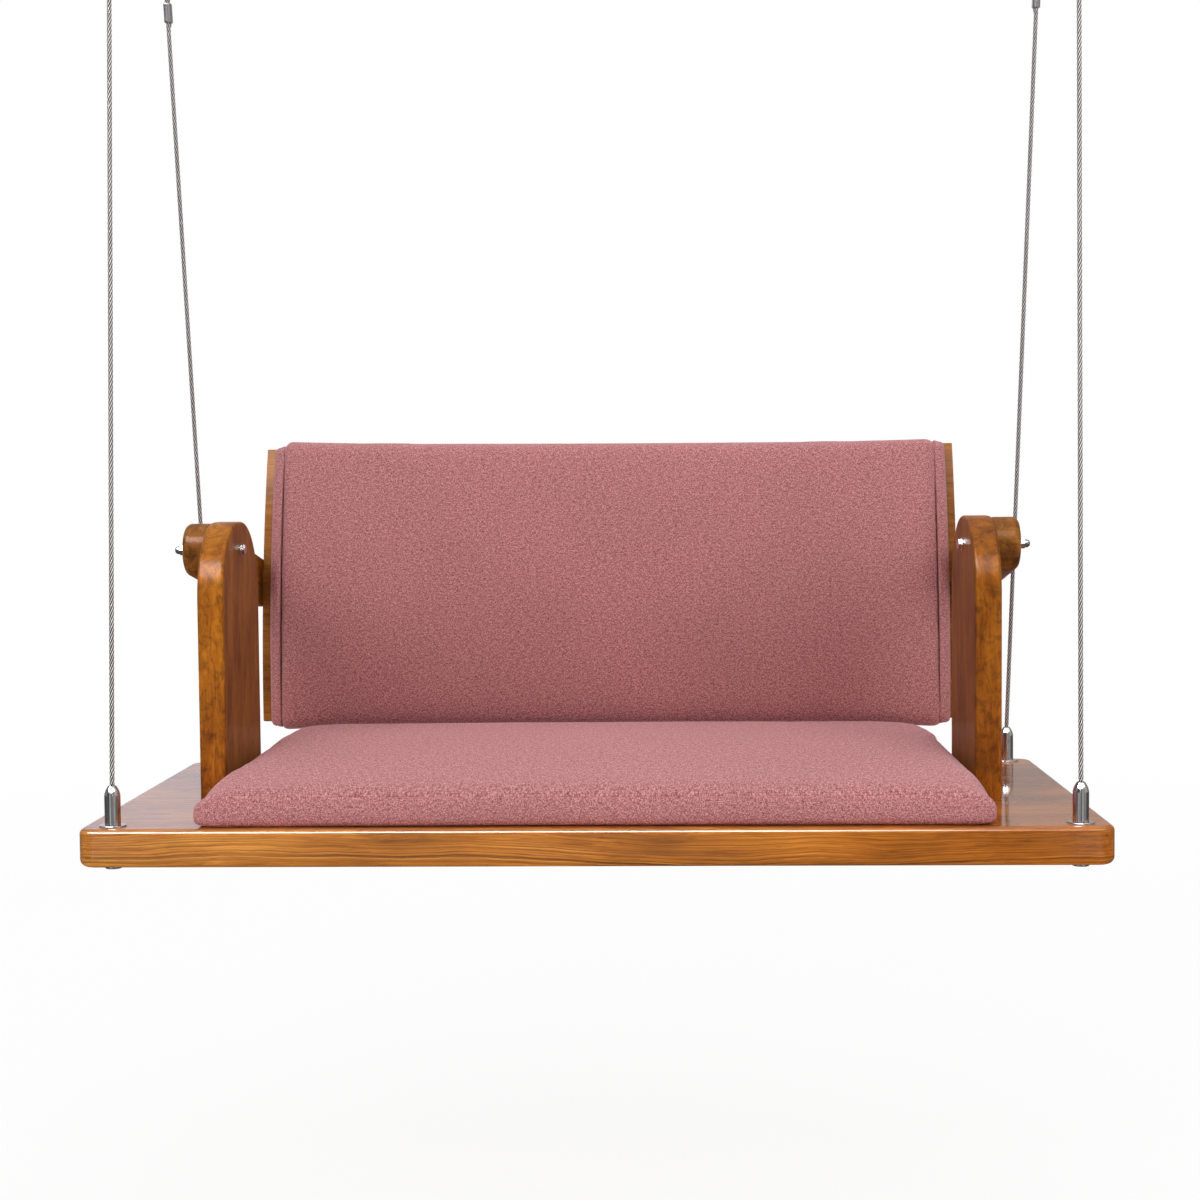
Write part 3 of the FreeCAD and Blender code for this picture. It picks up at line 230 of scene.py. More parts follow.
def lacquered_wood(name, turn, heart, seed, lines=1.0, burl=0.0, tint=(1, 1, 1),
                   calm=("X", 1), sides=(1, 1, 1), gloss=0.15, drift=None):
    """Teak under a clear lacquer. turn brings the grain onto Z, heart is where the tree's middle lies, and seed
    picks the pattern. lines is how strong the rings are, and burl how knotted the wood is. Faces that look the
    calm way have fewer lines and the tint of sides, which is painted shade and painted reflection on them. drift
    holds the tints of both ends along X; on the board they are a painted reflection, paler and bluer at the left
    end, with deeper orange at the right."""
    wood = bpy.context.scene.swing_wood
    finish = Finish(name, Roughness=0.45, Coat_Weight=gloss, Coat_Roughness=0.20 - 0.15 * gloss, Coat_IOR=1.62,
                    Specular_IOR_Level=0.12)
    place = finish.place()
    turned = finish.mapped(place, rotation=turn, location=heart)
    long_grain = finish.mapped(turned, scale=(1, 1, 0.30), location=(seed, seed, seed))
    # the tree's own bends, long along the grain, and its small waves
    bend = finish.noise(long_grain, scale=7.0, roughness=0.45, output="Color")
    wave = finish.noise(long_grain, scale=42.0, output="Color")
    moved = turned
    for noise, reach in ((bend, 0.055), (wave, 0.0065 + 0.02 * burl)):
        shift = finish.node("VectorMath", {0: noise, 1: (0.5, 0.5, 0.5)}, operation="SUBTRACT").outputs[0]
        shift = finish.node("VectorMath", {0: shift, 1: (reach, reach, 0)}, operation="MULTIPLY").outputs[0]
        moved = finish.node("VectorMath", {0: moved, 1: shift}, operation="ADD").outputs[0]
    fibres = finish.mapped(moved, scale=(1, 1, 0.03 + 0.12 * burl), location=(seed, 0, 0))
    fine = finish.noise(fibres, scale=520.0, detail=3.0, roughness=0.65)
    streak = finish.noise(fibres, scale=120.0, detail=4.0, roughness=0.6)
    cloud = finish.noise(long_grain, scale=14.0 + 20 * burl, detail=3.0 + 2 * burl, roughness=0.55)
    tone = finish.sum_of((cloud, 0.55), (streak, 0.45))
    colour = finish.ramp(tone, [(0.36, scaled(wood.middle, 0.55)), (0.47, wood.middle), (0.60, wood.light)])
    # each ring ends in a thin dark line
    late = finish.ramp(growth_rings(finish, moved, wood.ring),
                       [(0.0, grey(0)), (0.50, grey(0.12)), (0.80, grey(0.60)), (0.92, grey(1)), (1.0, grey(0))])
    facing = finish.split(finish.node("TexCoord").outputs["Normal"])
    aside = finish.spread(finish.math("MULTIPLY", facing[calm[0]], calm[1]), 0.6, 0.97)
    patchy = finish.math("MULTIPLY", finish.spread(streak, 0.36, 0.60, at_low=0.30 * lines, at_high=lines),
                         finish.spread(aside, 0, 1, at_low=1.0, at_high=0.45))
    colour = finish.blend(finish.math("MULTIPLY", late, patchy), colour, (*wood.dark, 1))
    colour = finish.tinted(colour, finish.ramp(fine, [(0.36, (0.50, 0.42, 0.34)), (0.48, grey(1))]), 0.55)
    if burl:
        knots = finish.ramp(finish.noise(moved, scale=75.0, detail=5.0, roughness=0.6, distortion=0.8),
                            [(0.36, (0.42, 0.40, 0.36)), (0.50, grey(0.95)), (0.64, (1.2, 1.1, 1.0))])
        figure = finish.spread(finish.math("ABSOLUTE", facing["X"]), 0.6, 0.97, at_low=burl, at_high=burl * 0.35)
        colour = finish.tinted(colour, knots, figure)
    # painted shade and painted reflection: faces that look the calm way take the sides tint, darker on the board's
    # top and darker and bluer on the posts' inner faces
    side_shade_tint = (*(part * side for part, side in zip(tint, sides)), 1)
    colour = finish.tinted(colour, finish.blend(aside, (*tint, 1), side_shade_tint))
    # painted reflection: the ends are tinted apart along X; on the board the left end is paler and bluer, the right
    # deeper orange
    if drift:
        along = finish.spread(finish.split(place)[0], -0.6, 0.6)
        colour = finish.tinted(colour, finish.ramp(along, [(0.0, drift[0]), (0.5, grey(1)), (1.0, drift[1])]))
    finish.into("Base Color", colour)
    finish.into("Normal", finish.bump(fine, strength=0.08, distance=0.0003))
    brushed = finish.noise(turned, scale=22.0)
    finish.into("Coat Normal", finish.bump(brushed, strength=0.12, distance=0.002))
    return finish.material


def bare_dowel(name):
    """Pale beech of the hidden dowels."""
    finish = Finish(name, Roughness=0.6)
    streaks = finish.noise(finish.mapped(finish.place(), scale=(0.1, 1, 1)), scale=700.0, detail=3.0)
    finish.into("Base Color", finish.ramp(streaks, [(0.3, (0.42, 0.26, 0.13)), (0.7, (0.62, 0.43, 0.25))]))
    finish.into("Normal", finish.bump(streaks, strength=0.3, distance=0.0004))
    return finish.material


def metal(name, colour, roughness, brush=(1, 1, 1), scale=500.0, uneven=0.10, depth=0.00004):
    """A metal with fine machining or rolling marks. brush stretches the marks, and depth is theirs."""
    finish = Finish(name, Metallic=1.0, Specular_IOR_Level=0.5)
    place = finish.place()
    marks = finish.noise(finish.mapped(place, scale=brush), scale, detail=3.0, roughness=0.65)
    cloud = finish.noise(place, scale=45.0, detail=3.0)
    finish.into("Base Color", finish.ramp(cloud, [(0.3, scaled(colour, 0.86)), (0.7, colour)]))
    finish.into("Roughness", finish.spread(marks, 0, 1, at_low=max(0.02, roughness - uneven / 2),
                                           at_high=roughness + uneven))
    finish.into("Normal", finish.bump(marks, strength=0.25, distance=depth))
    return finish.material


def moulded_plastic(name, colour):
    """Matt plastic of the bushes."""
    finish = Finish(name, Roughness=0.5)
    grain = finish.noise(finish.place(), scale=1500.0)
    finish.into("Base Color", finish.ramp(grain, [(0.3, scaled(colour, 0.85)), (0.7, colour)]))
    finish.into("Normal", finish.bump(grain, strength=0.2, distance=0.0001))
    return finish.material


def heathered_cloth(name):
    """Plain-woven rose cloth of mixed yarns. Its threads follow the UV map, which is in metres."""
    cloth = bpy.context.scene.swing_upholstery
    finish = Finish(name, Roughness=0.92, Specular_IOR_Level=0.18, Sheen_Weight=0.30, Sheen_Roughness=0.45,
                    Sheen_Tint=(0.95, 0.72, 0.74, 1))
    weave = finish.node("UVMap", uv_map="weave").outputs[0]
    place = finish.place()
    pitch = 1 / cloth.thread
    across, along = (finish.math("SINE", finish.math("MULTIPLY", part, math.pi * pitch))
                     for part in finish.split(weave)[:2])
    crossing = finish.math("MULTIPLY", finish.math("ABSOLUTE", across), finish.math("ABSOLUTE", along))
    yarn_scale = pitch * 1.05
    warp = finish.noise(finish.mapped(weave, scale=(1, 0.42, 1)), yarn_scale)
    weft = finish.noise(finish.mapped(weave, scale=(0.36, 1, 1), location=(3, 5, 0)), yarn_scale)
    # where both waves have one sign the warp lies on top, and elsewhere the weft
    on_top = finish.spread(finish.math("MULTIPLY", across, along), -0.15, 0.15)
    yarn = finish.node("Mix", {0: on_top, 2: weft, 3: warp}).outputs[0]
    speck = finish.noise(place, scale=520.0, roughness=0.7)
    slubs = finish.noise(finish.mapped(weave, scale=(0.45, 1, 1), location=(7, 2, 0)), scale=300.0)
    heather = finish.sum_of((yarn, 0.70), (speck, 0.14), (slubs, 0.16))
    colour = finish.ramp(heather, [(0.39, cloth.dark), (0.49, cloth.rose), (0.595, cloth.light)])
    # painted shade: the colour darkens along the lines where the threads dip between one another
    colour = finish.tinted(colour, finish.ramp(crossing, [(0.0, grey(0.60)), (0.35, grey(1))]), 0.8)
    cloud = finish.noise(place, scale=5.0, detail=4.0)
    colour = finish.tinted(colour, finish.ramp(cloud, [(0.3, grey(0.90)), (0.7, grey(1.0))]))
    finish.into("Base Color", colour)
    raised = finish.sum_of((crossing, 0.7), (heather, 0.6))
    finish.into("Normal", finish.bump(raised, strength=0.55, distance=0.0006))
    return finish.material


def rose_cloth():
    """The one cloth of the cushion and the pad."""
    name = "Rose cloth"
    return bpy.data.materials.get(name) or heathered_cloth(name)


def rope_steel(name):
    """Wires of one strand, from the UV map: metres along the strand, and turns round it."""
    wires = bpy.context.scene.swing_ropes.wires
    wire_lay = 0.022
    finish = Finish(name, Metallic=0.12)
    along, round_strand = finish.split(finish.node("UVMap", uv_map="lay").outputs[0])[:2]
    turn = finish.sum_of((round_strand, 2 * math.pi * wires), (along, -2 * math.pi * wires / wire_lay))
    wire = finish.math("ABSOLUTE", finish.math("SINE", finish.math("MULTIPLY", turn, 0.5)))
    dirt = finish.noise(finish.place(), scale=160.0, detail=3.0)
    # painted shade: the colour darkens in the grooves between the wires
    colour = finish.ramp(wire, [(0.0, (0.34, 0.31, 0.30)), (0.3, (0.80, 0.77, 0.76)), (1, (0.96, 0.94, 0.93))])
    colour = finish.blend(finish.math("MULTIPLY", dirt, 0.35), colour, (0.40, 0.33, 0.31, 1))
    # painted shade: the side of a strand that lies against the next ones is darkened, as the groove between strands
    # would be in shade
    half_turn = finish.math("SUBTRACT", finish.math("FRACT", finish.math("ADD", round_strand, 0.5)), 0.5)
    inward = finish.math("ABSOLUTE", half_turn)
    colour = finish.tinted(colour, finish.ramp(inward, [(0.07, grey(1)), (0.11, (0.06, 0.033, 0.028))]))
    finish.into("Base Color", colour)
    finish.into("Roughness", finish.spread(dirt, 0, 1, at_low=0.25, at_high=0.50))
    finish.into("Normal", finish.bump(wire, strength=0.6, distance=0.00018))
    return finish.material


# Shaping

MERGE_WITHIN = 0.00002


def alone(piece):
    """Makes piece the only selected object, and the active one."""
    if bpy.context.object and bpy.context.object.mode != "OBJECT":
        bpy.ops.object.mode_set(mode="OBJECT")
    bpy.ops.object.select_all(action="DESELECT")
    piece.select_set(True)
    bpy.context.view_layer.objects.active = piece


def copied(node, name):
    """A copy of a CAD node's mesh with its points merged, as an object of its own."""
    piece = bpy.data.objects.new(name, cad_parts[node].data.copy())
    bpy.context.scene.collection.objects.link(piece)
    piece.data.materials.clear()
    alone(piece)
    bpy.ops.object.mode_set(mode="EDIT")
    bpy.ops.mesh.select_all(action="SELECT")
    bpy.ops.mesh.remove_doubles(threshold=MERGE_WITHIN)
    bpy.ops.mesh.normals_make_consistent(inside=False)
    bpy.ops.object.mode_set(mode="OBJECT")
    return piece


def cut(piece, x, keep_above):
    """Cuts the piece square across X at x, closes the cut, and keeps one side."""
    alone(piece)
    bpy.ops.object.mode_set(mode="EDIT")
    bpy.ops.mesh.select_all(action="SELECT")
    bpy.ops.mesh.bisect(plane_co=(x, 0, 0), plane_no=(1, 0, 0), use_fill=True, clear_inner=keep_above,
                        clear_outer=not keep_above)
    bpy.ops.object.mode_set(mode="OBJECT")


def read_rows(items, field):
    """A field of three numbers, read from all items, one row each."""
    rows = np.empty(len(items) * 3)
    items.foreach_get(field, rows)
    return rows.reshape(-1, 3)


def points(piece):
    return read_rows(piece.data.vertices, "co")


def normals(piece):
    return read_rows(piece.data.vertex_normals, "vector")


def set_points(piece, spots):
    piece.data.vertices.foreach_set("co", np.ascontiguousarray(spots).ravel())
    piece.data.update()


def extent(piece):
    """The low and the high corner of the piece's box."""
    spots = points(piece)
    return spots.min(axis=0), spots.max(axis=0)


def fitted(piece, low, high):
    """Scales the piece a little, so that it fills the box from low to high."""
    near, far = extent(piece)
    shares = (np.array(high) - np.array(low)) / (far - near)
    set_points(piece, np.array(low) + (points(piece) - near) * shares)


def drawn_in(piece, depths):
    """The piece's points, moved in by depths along their normals, but not along X."""
    ways = normals(piece)
    ways[:, 0] = 0
    return points(piece) - ways * depths[:, None]


def away(values, middle, reach):
    """The square of how many reaches the values lie from the middle."""
    return ((values - middle) / reach) ** 2


def mound(x, y, spot):
    """A smooth mound, 1 at its top. spot holds the middle and the reach along X, and then along Y."""
    return np.exp(-away(x, *spot[0]) - away(y, *spot[1]))


def changed(piece, kind, **settings):
    """Puts a modifier on the piece and applies it."""
    alone(piece)
    change = piece.modifiers.new(kind.title(), kind)
    for key, value in settings.items():
        setattr(change, key, value)
    bpy.ops.object.modifier_apply(modifier=change.name)


def remeshed(piece, voxel):
    changed(piece, "REMESH", mode="VOXEL", voxel_size=voxel)


def smoothed(piece, times):
    changed(piece, "SMOOTH", iterations=times, factor=0.5)


def subdivided(piece):
    changed(piece, "SUBSURF", levels=1, render_levels=1)
    bpy.ops.object.shade_smooth()


def stuffed(piece, swell, frames=18):
    """Blows the piece up as cloth that the stuffing presses on, and holds each point within swell of its start."""
    before = points(piece)
    cloth = piece.modifiers.new("Stuffing", "CLOTH")
    cloth.settings.use_pressure = True
    cloth.settings.uniform_pressure_force = STUFFING_PRESSURE
    cloth.settings.effector_weights.gravity = 0
    cloth.settings.tension_stiffness = 18
    cloth.settings.compression_stiffness = 18
    cloth.settings.bending_stiffness = 1.5
    cloth.settings.quality = 5
    scene = bpy.context.scene
    for step in range(1, frames + 1):
        scene.frame_set(step)
    seen = piece.evaluated_get(bpy.context.evaluated_depsgraph_get())
    moved = points(seen) - before
    piece.modifiers.remove(cloth)
    scene.frame_set(1)
    far = np.linalg.norm(moved, axis=1, keepdims=True)
    set_points(piece, before + moved * (swell * np.tanh(far / swell) / np.maximum(far, 1e-9)))


def woven_map(piece, slack=1.0):
    """A UV map in metres that lays the cloth on from the side that each face looks to. slack stretches the
    threads of the top from front to back."""
    mesh = piece.data
    layer = mesh.uv_layers.new(name="weave")
    corners = np.empty(len(mesh.loops), dtype=np.int32)
    mesh.loops.foreach_get("vertex_index", corners)
    sizes = np.empty(len(mesh.polygons), dtype=np.int32)
    mesh.polygons.foreach_get("loop_total", sizes)
    side = np.repeat(np.abs(read_rows(mesh.polygons, "normal")).argmax(axis=1), sizes)
    place = points(piece)[corners]
    flat = np.where((side == 0)[:, None], place[:, [1, 2]],
                    np.where((side == 1)[:, None], place[:, [0, 2]], place[:, [0, 1]] * (1, slack)))
    layer.data.foreach_set("uv", flat.ravel())


def dressed(piece, material, body, node):
    """Gives a new piece its material and the body it moves with, and hides the CAD node it stands for."""
    piece.data.materials.clear()
    piece.data.materials.append(material)
    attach(piece, body)
    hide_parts(node)


def finished(material, *nodes):
    """Gives CAD nodes that stay their material."""
    for name in nodes:
        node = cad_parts[name]
        if not node.material_slots:
            raise RuntimeError(f"{name} has no material slot")
        for slot in node.material_slots:
            slot.material = material


# The ropes: the points of part.py's route, in metres. Each rope is set out upright with its lower end at the
# origin, and then leant

ROPES = {"front_left": (-1, -1), "front_right": (-1, 1), "rear_left": (1, -1), "rear_right": (1, 1)}
# a rope's lower end lies FITTING from the middle of the four, which is FITTING_MIDDLE from the middle of the pins
FITTING = Vector((0.572, 0.276, -1.1315))
FITTING_MIDDLE = -0.0439716
PIN = Vector((0.599269, 0.141602, -0.040))
PIN_RADIUS = 0.005
PIN_REST = 0.00025
EYE_INNER = 0.012
EYE_BELOW_PIN = EYE_INNER - PIN_RADIUS - PIN_REST
# the middle of a rear eye, from its pin
REAR_EYE = Vector((0, -0.00234, -0.0056))
EYE_LONG = 0.052
EYE_BENDS = 5
THIMBLE_WALL = 0.0018
THIMBLE_PLAY = 0.0002
ROPE_RADIUS = 0.003
EYE_LINE = EYE_INNER + THIMBLE_WALL + THIMBLE_PLAY + ROPE_RADIUS
# half the distance between the rope and its tail, and how much of the rope the bend below the eye takes
LEG_HALF = 0.0033
LEG_BEND = 0.0117
SLEEVE_LONG = 0.026
TAIL_OUT = 0.005
TAIL = LEG_BEND + SLEEVE_LONG + TAIL_OUT


def rope_lean(ey, sx):
    """Where one rope stands, as a matrix, and how high its eye is along it. ey is -1 in front and 1 at the rear,
    and sx is -1 on the left and 1 on the right."""
    foot = Vector((sx * FITTING.x, FITTING_MIDDLE + ey * FITTING.y, FITTING.z))
    pin = Vector((sx * PIN.x, ey * PIN.y, PIN.z))
    eye = pin - (pin - foot).normalized() * EYE_BELOW_PIN if ey < 0 else pin + REAR_EYE
    upward = (eye - foot).normalized()
    backward = upward.cross(Vector((1, 0, 0))).normalized()
    upward = (eye - backward * LEG_HALF - foot).normalized()
    across = (Vector((1, 0, 0)) - upward * upward.x).normalized()
    backward = upward.cross(across)
    lean = Matrix((across, backward, upward)).transposed().to_4x4()
    lean.translation = foot
    return lean, (eye - foot).dot(upward)


def rope_route(height):
    """The route's points: up the rope, round outside the eye and down the tail."""
    corner = Vector((0, 0, height - EYE_LONG))
    reach = math.hypot(LEG_HALF, EYE_LONG)
    toward = math.atan2(-EYE_LONG, -LEG_HALF) % (2 * math.pi)
    start = toward - math.acos(EYE_LINE / reach)
    end = math.pi - start
    step = (start - end) / EYE_BENDS
    outer = EYE_LINE / math.cos(step / 2)
    turns = [start - step * (k + 0.5) for k in range(EYE_BENDS)]
    eye = [Vector((0, LEG_HALF + outer * math.cos(a), height + outer * math.sin(a))) for a in turns]
    side = 2 * EYE_LINE * math.tan(step / 2)
    front = eye[0] + (corner - eye[0]).normalized() * side
    rear_corner = Vector((0, 2 * LEG_HALF, corner.z))
    rear = eye[-1] + (rear_corner - eye[-1]).normalized() * side
    below = corner - Vector((0, 0, (front - corner).length))
    tail = rear_corner - Vector((0, 0, TAIL))
    return [Vector(), below, corner, front, *eye, rear, rear_corner, tail]


def rope_line(route, lean):
    """Points read off the smooth line through the route, and how far along the rope each of them is."""
    curve = bpy.data.curves.new("rope_line", "CURVE")
    curve.dimensions = "3D"
    spline = curve.splines.new("NURBS")
    spline.points.add(len(route) - 1)
    for point, spot in zip(spline.points, route):
        point.co = (*(lean @ spot), 1)
    spline.order_u = 3
    spline.use_endpoint_u = True
    spline.resolution_u = 48
    holder = bpy.data.objects.new("rope_line", curve)
    bpy.context.scene.collection.objects.link(holder)
    read = bpy.data.meshes.new_from_object(holder)
    line = np.array([tuple(v.co) for v in read.vertices])
    bpy.data.objects.remove(holder)
    bpy.data.curves.remove(curve)
    bpy.data.meshes.remove(read)
    steps = np.linalg.norm(np.diff(line, axis=0), axis=1)
    line = line[np.concatenate(([True], steps > 1e-9))]
    run = np.concatenate(([0], np.cumsum(np.linalg.norm(np.diff(line, axis=0), axis=1))))
    return line, run


def tube(spots, across, backward, radius, sides):
    """Rings of points round a line, and the faces between them, for from_pydata."""
    turns = np.linspace(0, 2 * math.pi, sides, endpoint=False)
    rings = (spots[:, None, :] + radius * (np.cos(turns)[None, :, None] * across[:, None, :]
                                           + np.sin(turns)[None, :, None] * backward[:, None, :]))
    first = np.arange(len(spots) - 1)[:, None] * sides
    near = np.arange(sides)[None, :]
    beside = (near + 1) % sides
    faces = np.stack([first + near, first + beside, first + sides + beside, first + sides + near], axis=-1)
    return rings.reshape(-1, 3), faces.reshape(-1, 4)


def strands(name, line, run, across, settings):
    """Strands laid right-handed round a core, along the rope's line, as one mesh. Its map holds metres along each
    strand and turns round it."""
    sides = 8
    steps_per_turn = 20
    ring_share = 0.69
    radius = settings.diameter / 2
    count = settings.strands
    lay = settings.lay_length
    steps = int(run[-1] / (lay / steps_per_turn)) + 1
    along = np.linspace(0, run[-1], steps)
    middle = np.stack([np.interp(along, run, line[:, k]) for k in range(3)], axis=1)
    forward = np.gradient(middle, along, axis=0)
    forward /= np.linalg.norm(forward, axis=1, keepdims=True)
    side = np.repeat(np.array(across)[None, :], steps, axis=0)
    back = np.cross(forward, side)
    slant = math.cos(math.atan(2 * math.pi * radius * ring_share / lay))
    # the strands nearly touch side by side, and the core reaches a little into them
    strand = radius * 0.99 / (1 + 1.0 / (slant * math.sin(math.pi / count)))
    ring = radius - strand
    core = (ring - strand) * 1.15 + 0.0002
    lines = [(middle, side, back, core, along)]
    for k in range(count):
        angle = (2 * math.pi * (along / lay + k / count))[:, None]
        out = np.cos(angle) * side + np.sin(angle) * back
        turning = -np.sin(angle) * side + np.cos(angle) * back
        ahead = forward + turning * (2 * math.pi * ring / lay)
        ahead /= np.linalg.norm(ahead, axis=1, keepdims=True)
        lines.append((middle + ring * out, out, np.cross(ahead, out), strand, along / slant))
    turn = np.tile(np.arange(sides) / sides, steps - 1)
    next_turn = turn + 1 / sides
    verts, faces, maps = [], [], []
    for k, (spots, out, beside, size, length) in enumerate(lines):
        base = k * steps * sides
        ring_points, quads = tube(spots, out, beside, size, sides)
        verts.append(ring_points)
        first_cap = list(range(base + sides - 1, base - 1, -1))
        last_cap = list(range(base + (steps - 1) * sides, base + steps * sides))
        faces += (quads + base).tolist() + [first_cap, last_cap]
        here, there = np.repeat(length[:-1], sides), np.repeat(length[1:], sides)
        maps.append(np.stack([here, turn, here, next_turn, there, next_turn, there, turn], axis=1).reshape(-1, 2))
        maps.append(np.zeros((2 * sides, 2)))
    mesh = bpy.data.meshes.new(name)
    mesh.from_pydata(np.concatenate(verts).tolist(), [], faces)
    mesh.uv_layers.new(name="lay").data.foreach_set("uv", np.concatenate(maps).ravel())
    mesh.polygons.foreach_set("use_smooth", [True] * len(mesh.polygons))
    mesh.update()
    return mesh


class SWING_OT_ropes(bpy.types.Operator):
    """Lay the four wire ropes, strand by strand, from the fittings up round their eyes"""
    bl_idname = "swing.ropes"
    bl_label = "Wire ropes"

    def execute(self, context):
        settings = context.scene.swing_ropes
        steel = rope_steel("Wire rope")
        for name, (ey, sx) in ROPES.items():
            lean, height = rope_lean(ey, sx)
            line, run = rope_line(rope_route(height), lean)
            across = lean.to_3x3() @ Vector((1, 0, 0))
            piece = bpy.data.objects.new(f"wire_rope_{name}", strands(name, line, run, across, settings))
            context.scene.collection.objects.link(piece)
            dressed(piece, steel, "front_ropes" if ey < 0 else "rear_ropes", f"rope_{name}")
        return {"FINISHED"}


# The upholstery, in metres

STUFFING_PRESSURE = 4.0
# the faces that each cover starts from
SEAT_FACE = 0.0070
PAD_FACE = 0.0065
BAND_FACE = 0.0026
# the stuffing stands fuller behind the front corners and at the right end
SHOULDERS = ((0.448, 0.028), (-0.23, 0.10))
SHOULDER_WIDE = 0.003
SHOULDER_TALL = 0.006
SHOULDER_FOOT = 0.012
SHOULDER_RISE = 0.02
RIGHT_END = ((0.43, 0.035), (-0.06, 0.14))
RIGHT_END_WIDE = 0.005
END_CLEARANCE = 0.003
SEAT_THREAD_SLACK = 0.35
# how far the pad's cover is stitched in, all round and at its ends
PAD_INSET = 0.0012
END_DRAW = 0.002
END_DRAW_REACH = 0.010
# the bands run on under the cover, are stitched in along a groove, and stand out past the pad's solid
BAND_TUCK = 0.002
BAND_INSET = 0.0016
GROOVE_DEPTH = 0.0011
GROOVE_WIDE = 0.0014
GROOVE_SHARE = 0.58
RIGHT_SEAM_OUT = 0.002
LEFT_BAND_OUT = 0.0025
RIGHT_BAND_OUT = 0.0045


class SWING_OT_seat_cushion(bpy.types.Operator):
    """Stuff and cover the seat cushion, with its flat underside on the board"""
    bl_idname = "swing.seat_cushion"
    bl_label = "Seat cushion"

    def execute(self, context):
        low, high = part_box("seat_cushion")
        piece = copied("seat_cushion", "seat_cushion_cover")
        remeshed(piece, SEAT_FACE)
        smoothed(piece, 2)
        stuffed(piece, context.scene.swing_upholstery.seat_swell)
        subdivided(piece)
        spots = points(piece)
        x, y, z = spots.T.copy()
        full = mound(np.abs(x), y, SHOULDERS) * np.clip((z - low[2] - SHOULDER_FOOT) / SHOULDER_RISE, 0, 1)
        wider = SHOULDER_WIDE * full * np.sign(x) + RIGHT_END_WIDE * mound(x, y, RIGHT_END)
        spots[:, 0] = np.minimum(x + wider, high[0] - END_CLEARANCE)
        spots[:, 2] = np.maximum(z + SHOULDER_TALL * full, low[2])
        set_points(piece, spots)
        fitted(piece, low, high)
        woven_map(piece, SEAT_THREAD_SLACK)
        dressed(piece, rose_cloth(), "seat", "seat_cushion")
        return {"FINISHED"}


class SWING_OT_backrest_pad(bpy.types.Operator):
    """Stuff the backrest pad, and sew a band on each of its ends"""
    bl_idname = "swing.backrest_pad"
    bl_label = "Backrest pad"

    def execute(self, context):
        cloth = context.scene.swing_upholstery
        low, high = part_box("backrest_pad")
        seams = {-1: low[0] + cloth.band, 1: high[0] - cloth.band + RIGHT_SEAM_OUT}
        ends = {-1: low[0] - LEFT_BAND_OUT, 1: high[0] + RIGHT_BAND_OUT}
        piece = copied("backrest_pad", "backrest_pad_cover")
        cut(piece, seams[-1], True)
        cut(piece, seams[1], False)
        box = extent(piece)
        remeshed(piece, PAD_FACE)
        smoothed(piece, 3)
        set_points(piece, points(piece) - normals(piece) * PAD_INSET)
        stuffed(piece, cloth.pad_swell)
        subdivided(piece)
        fitted(piece, *box)
        # the seams draw the ends in, and the cover hangs a little askew
        across = points(piece)[:, 0]
        near = np.minimum(across - box[0][0], box[1][0] - across)
        spots = drawn_in(piece, END_DRAW * np.clip(1 - near / END_DRAW_REACH, 0, 1) ** 2)
        upward = np.clip((spots[:, 2] - low[2]) / (high[2] - low[2]), 0, 1)
        spots[:, 2] -= cloth.tilt * spots[:, 0] / high[0] * upward ** 2
        set_points(piece, spots)
        woven_map(piece)
        dressed(piece, rose_cloth(), "backrest", "backrest_pad")
        for side, sign in (("left", -1), ("right", 1)):
            band = copied("backrest_pad", f"backrest_pad_band_{side}")
            inner = seams[sign] - sign * BAND_TUCK
            cut(band, inner, sign > 0)
            remeshed(band, BAND_FACE)
            smoothed(band, 4)
            # a line of stitches runs in a groove round the band
            from_end = high[0] - sign * points(band)[:, 0]
            groove = np.exp(-away(from_end, cloth.band * GROOVE_SHARE, GROOVE_WIDE))
            set_points(band, drawn_in(band, BAND_INSET + GROOVE_DEPTH * groove))
            subdivided(band)
            near, far = extent(band)
            near[0], far[0] = sorted((inner, ends[sign]))
            fitted(band, near, far)
            woven_map(band)
            dressed(band, rose_cloth(), "backrest", "backrest_pad")
        return {"FINISHED"}


# from the middle of the board to the middle of a post
POST_X = 0.492


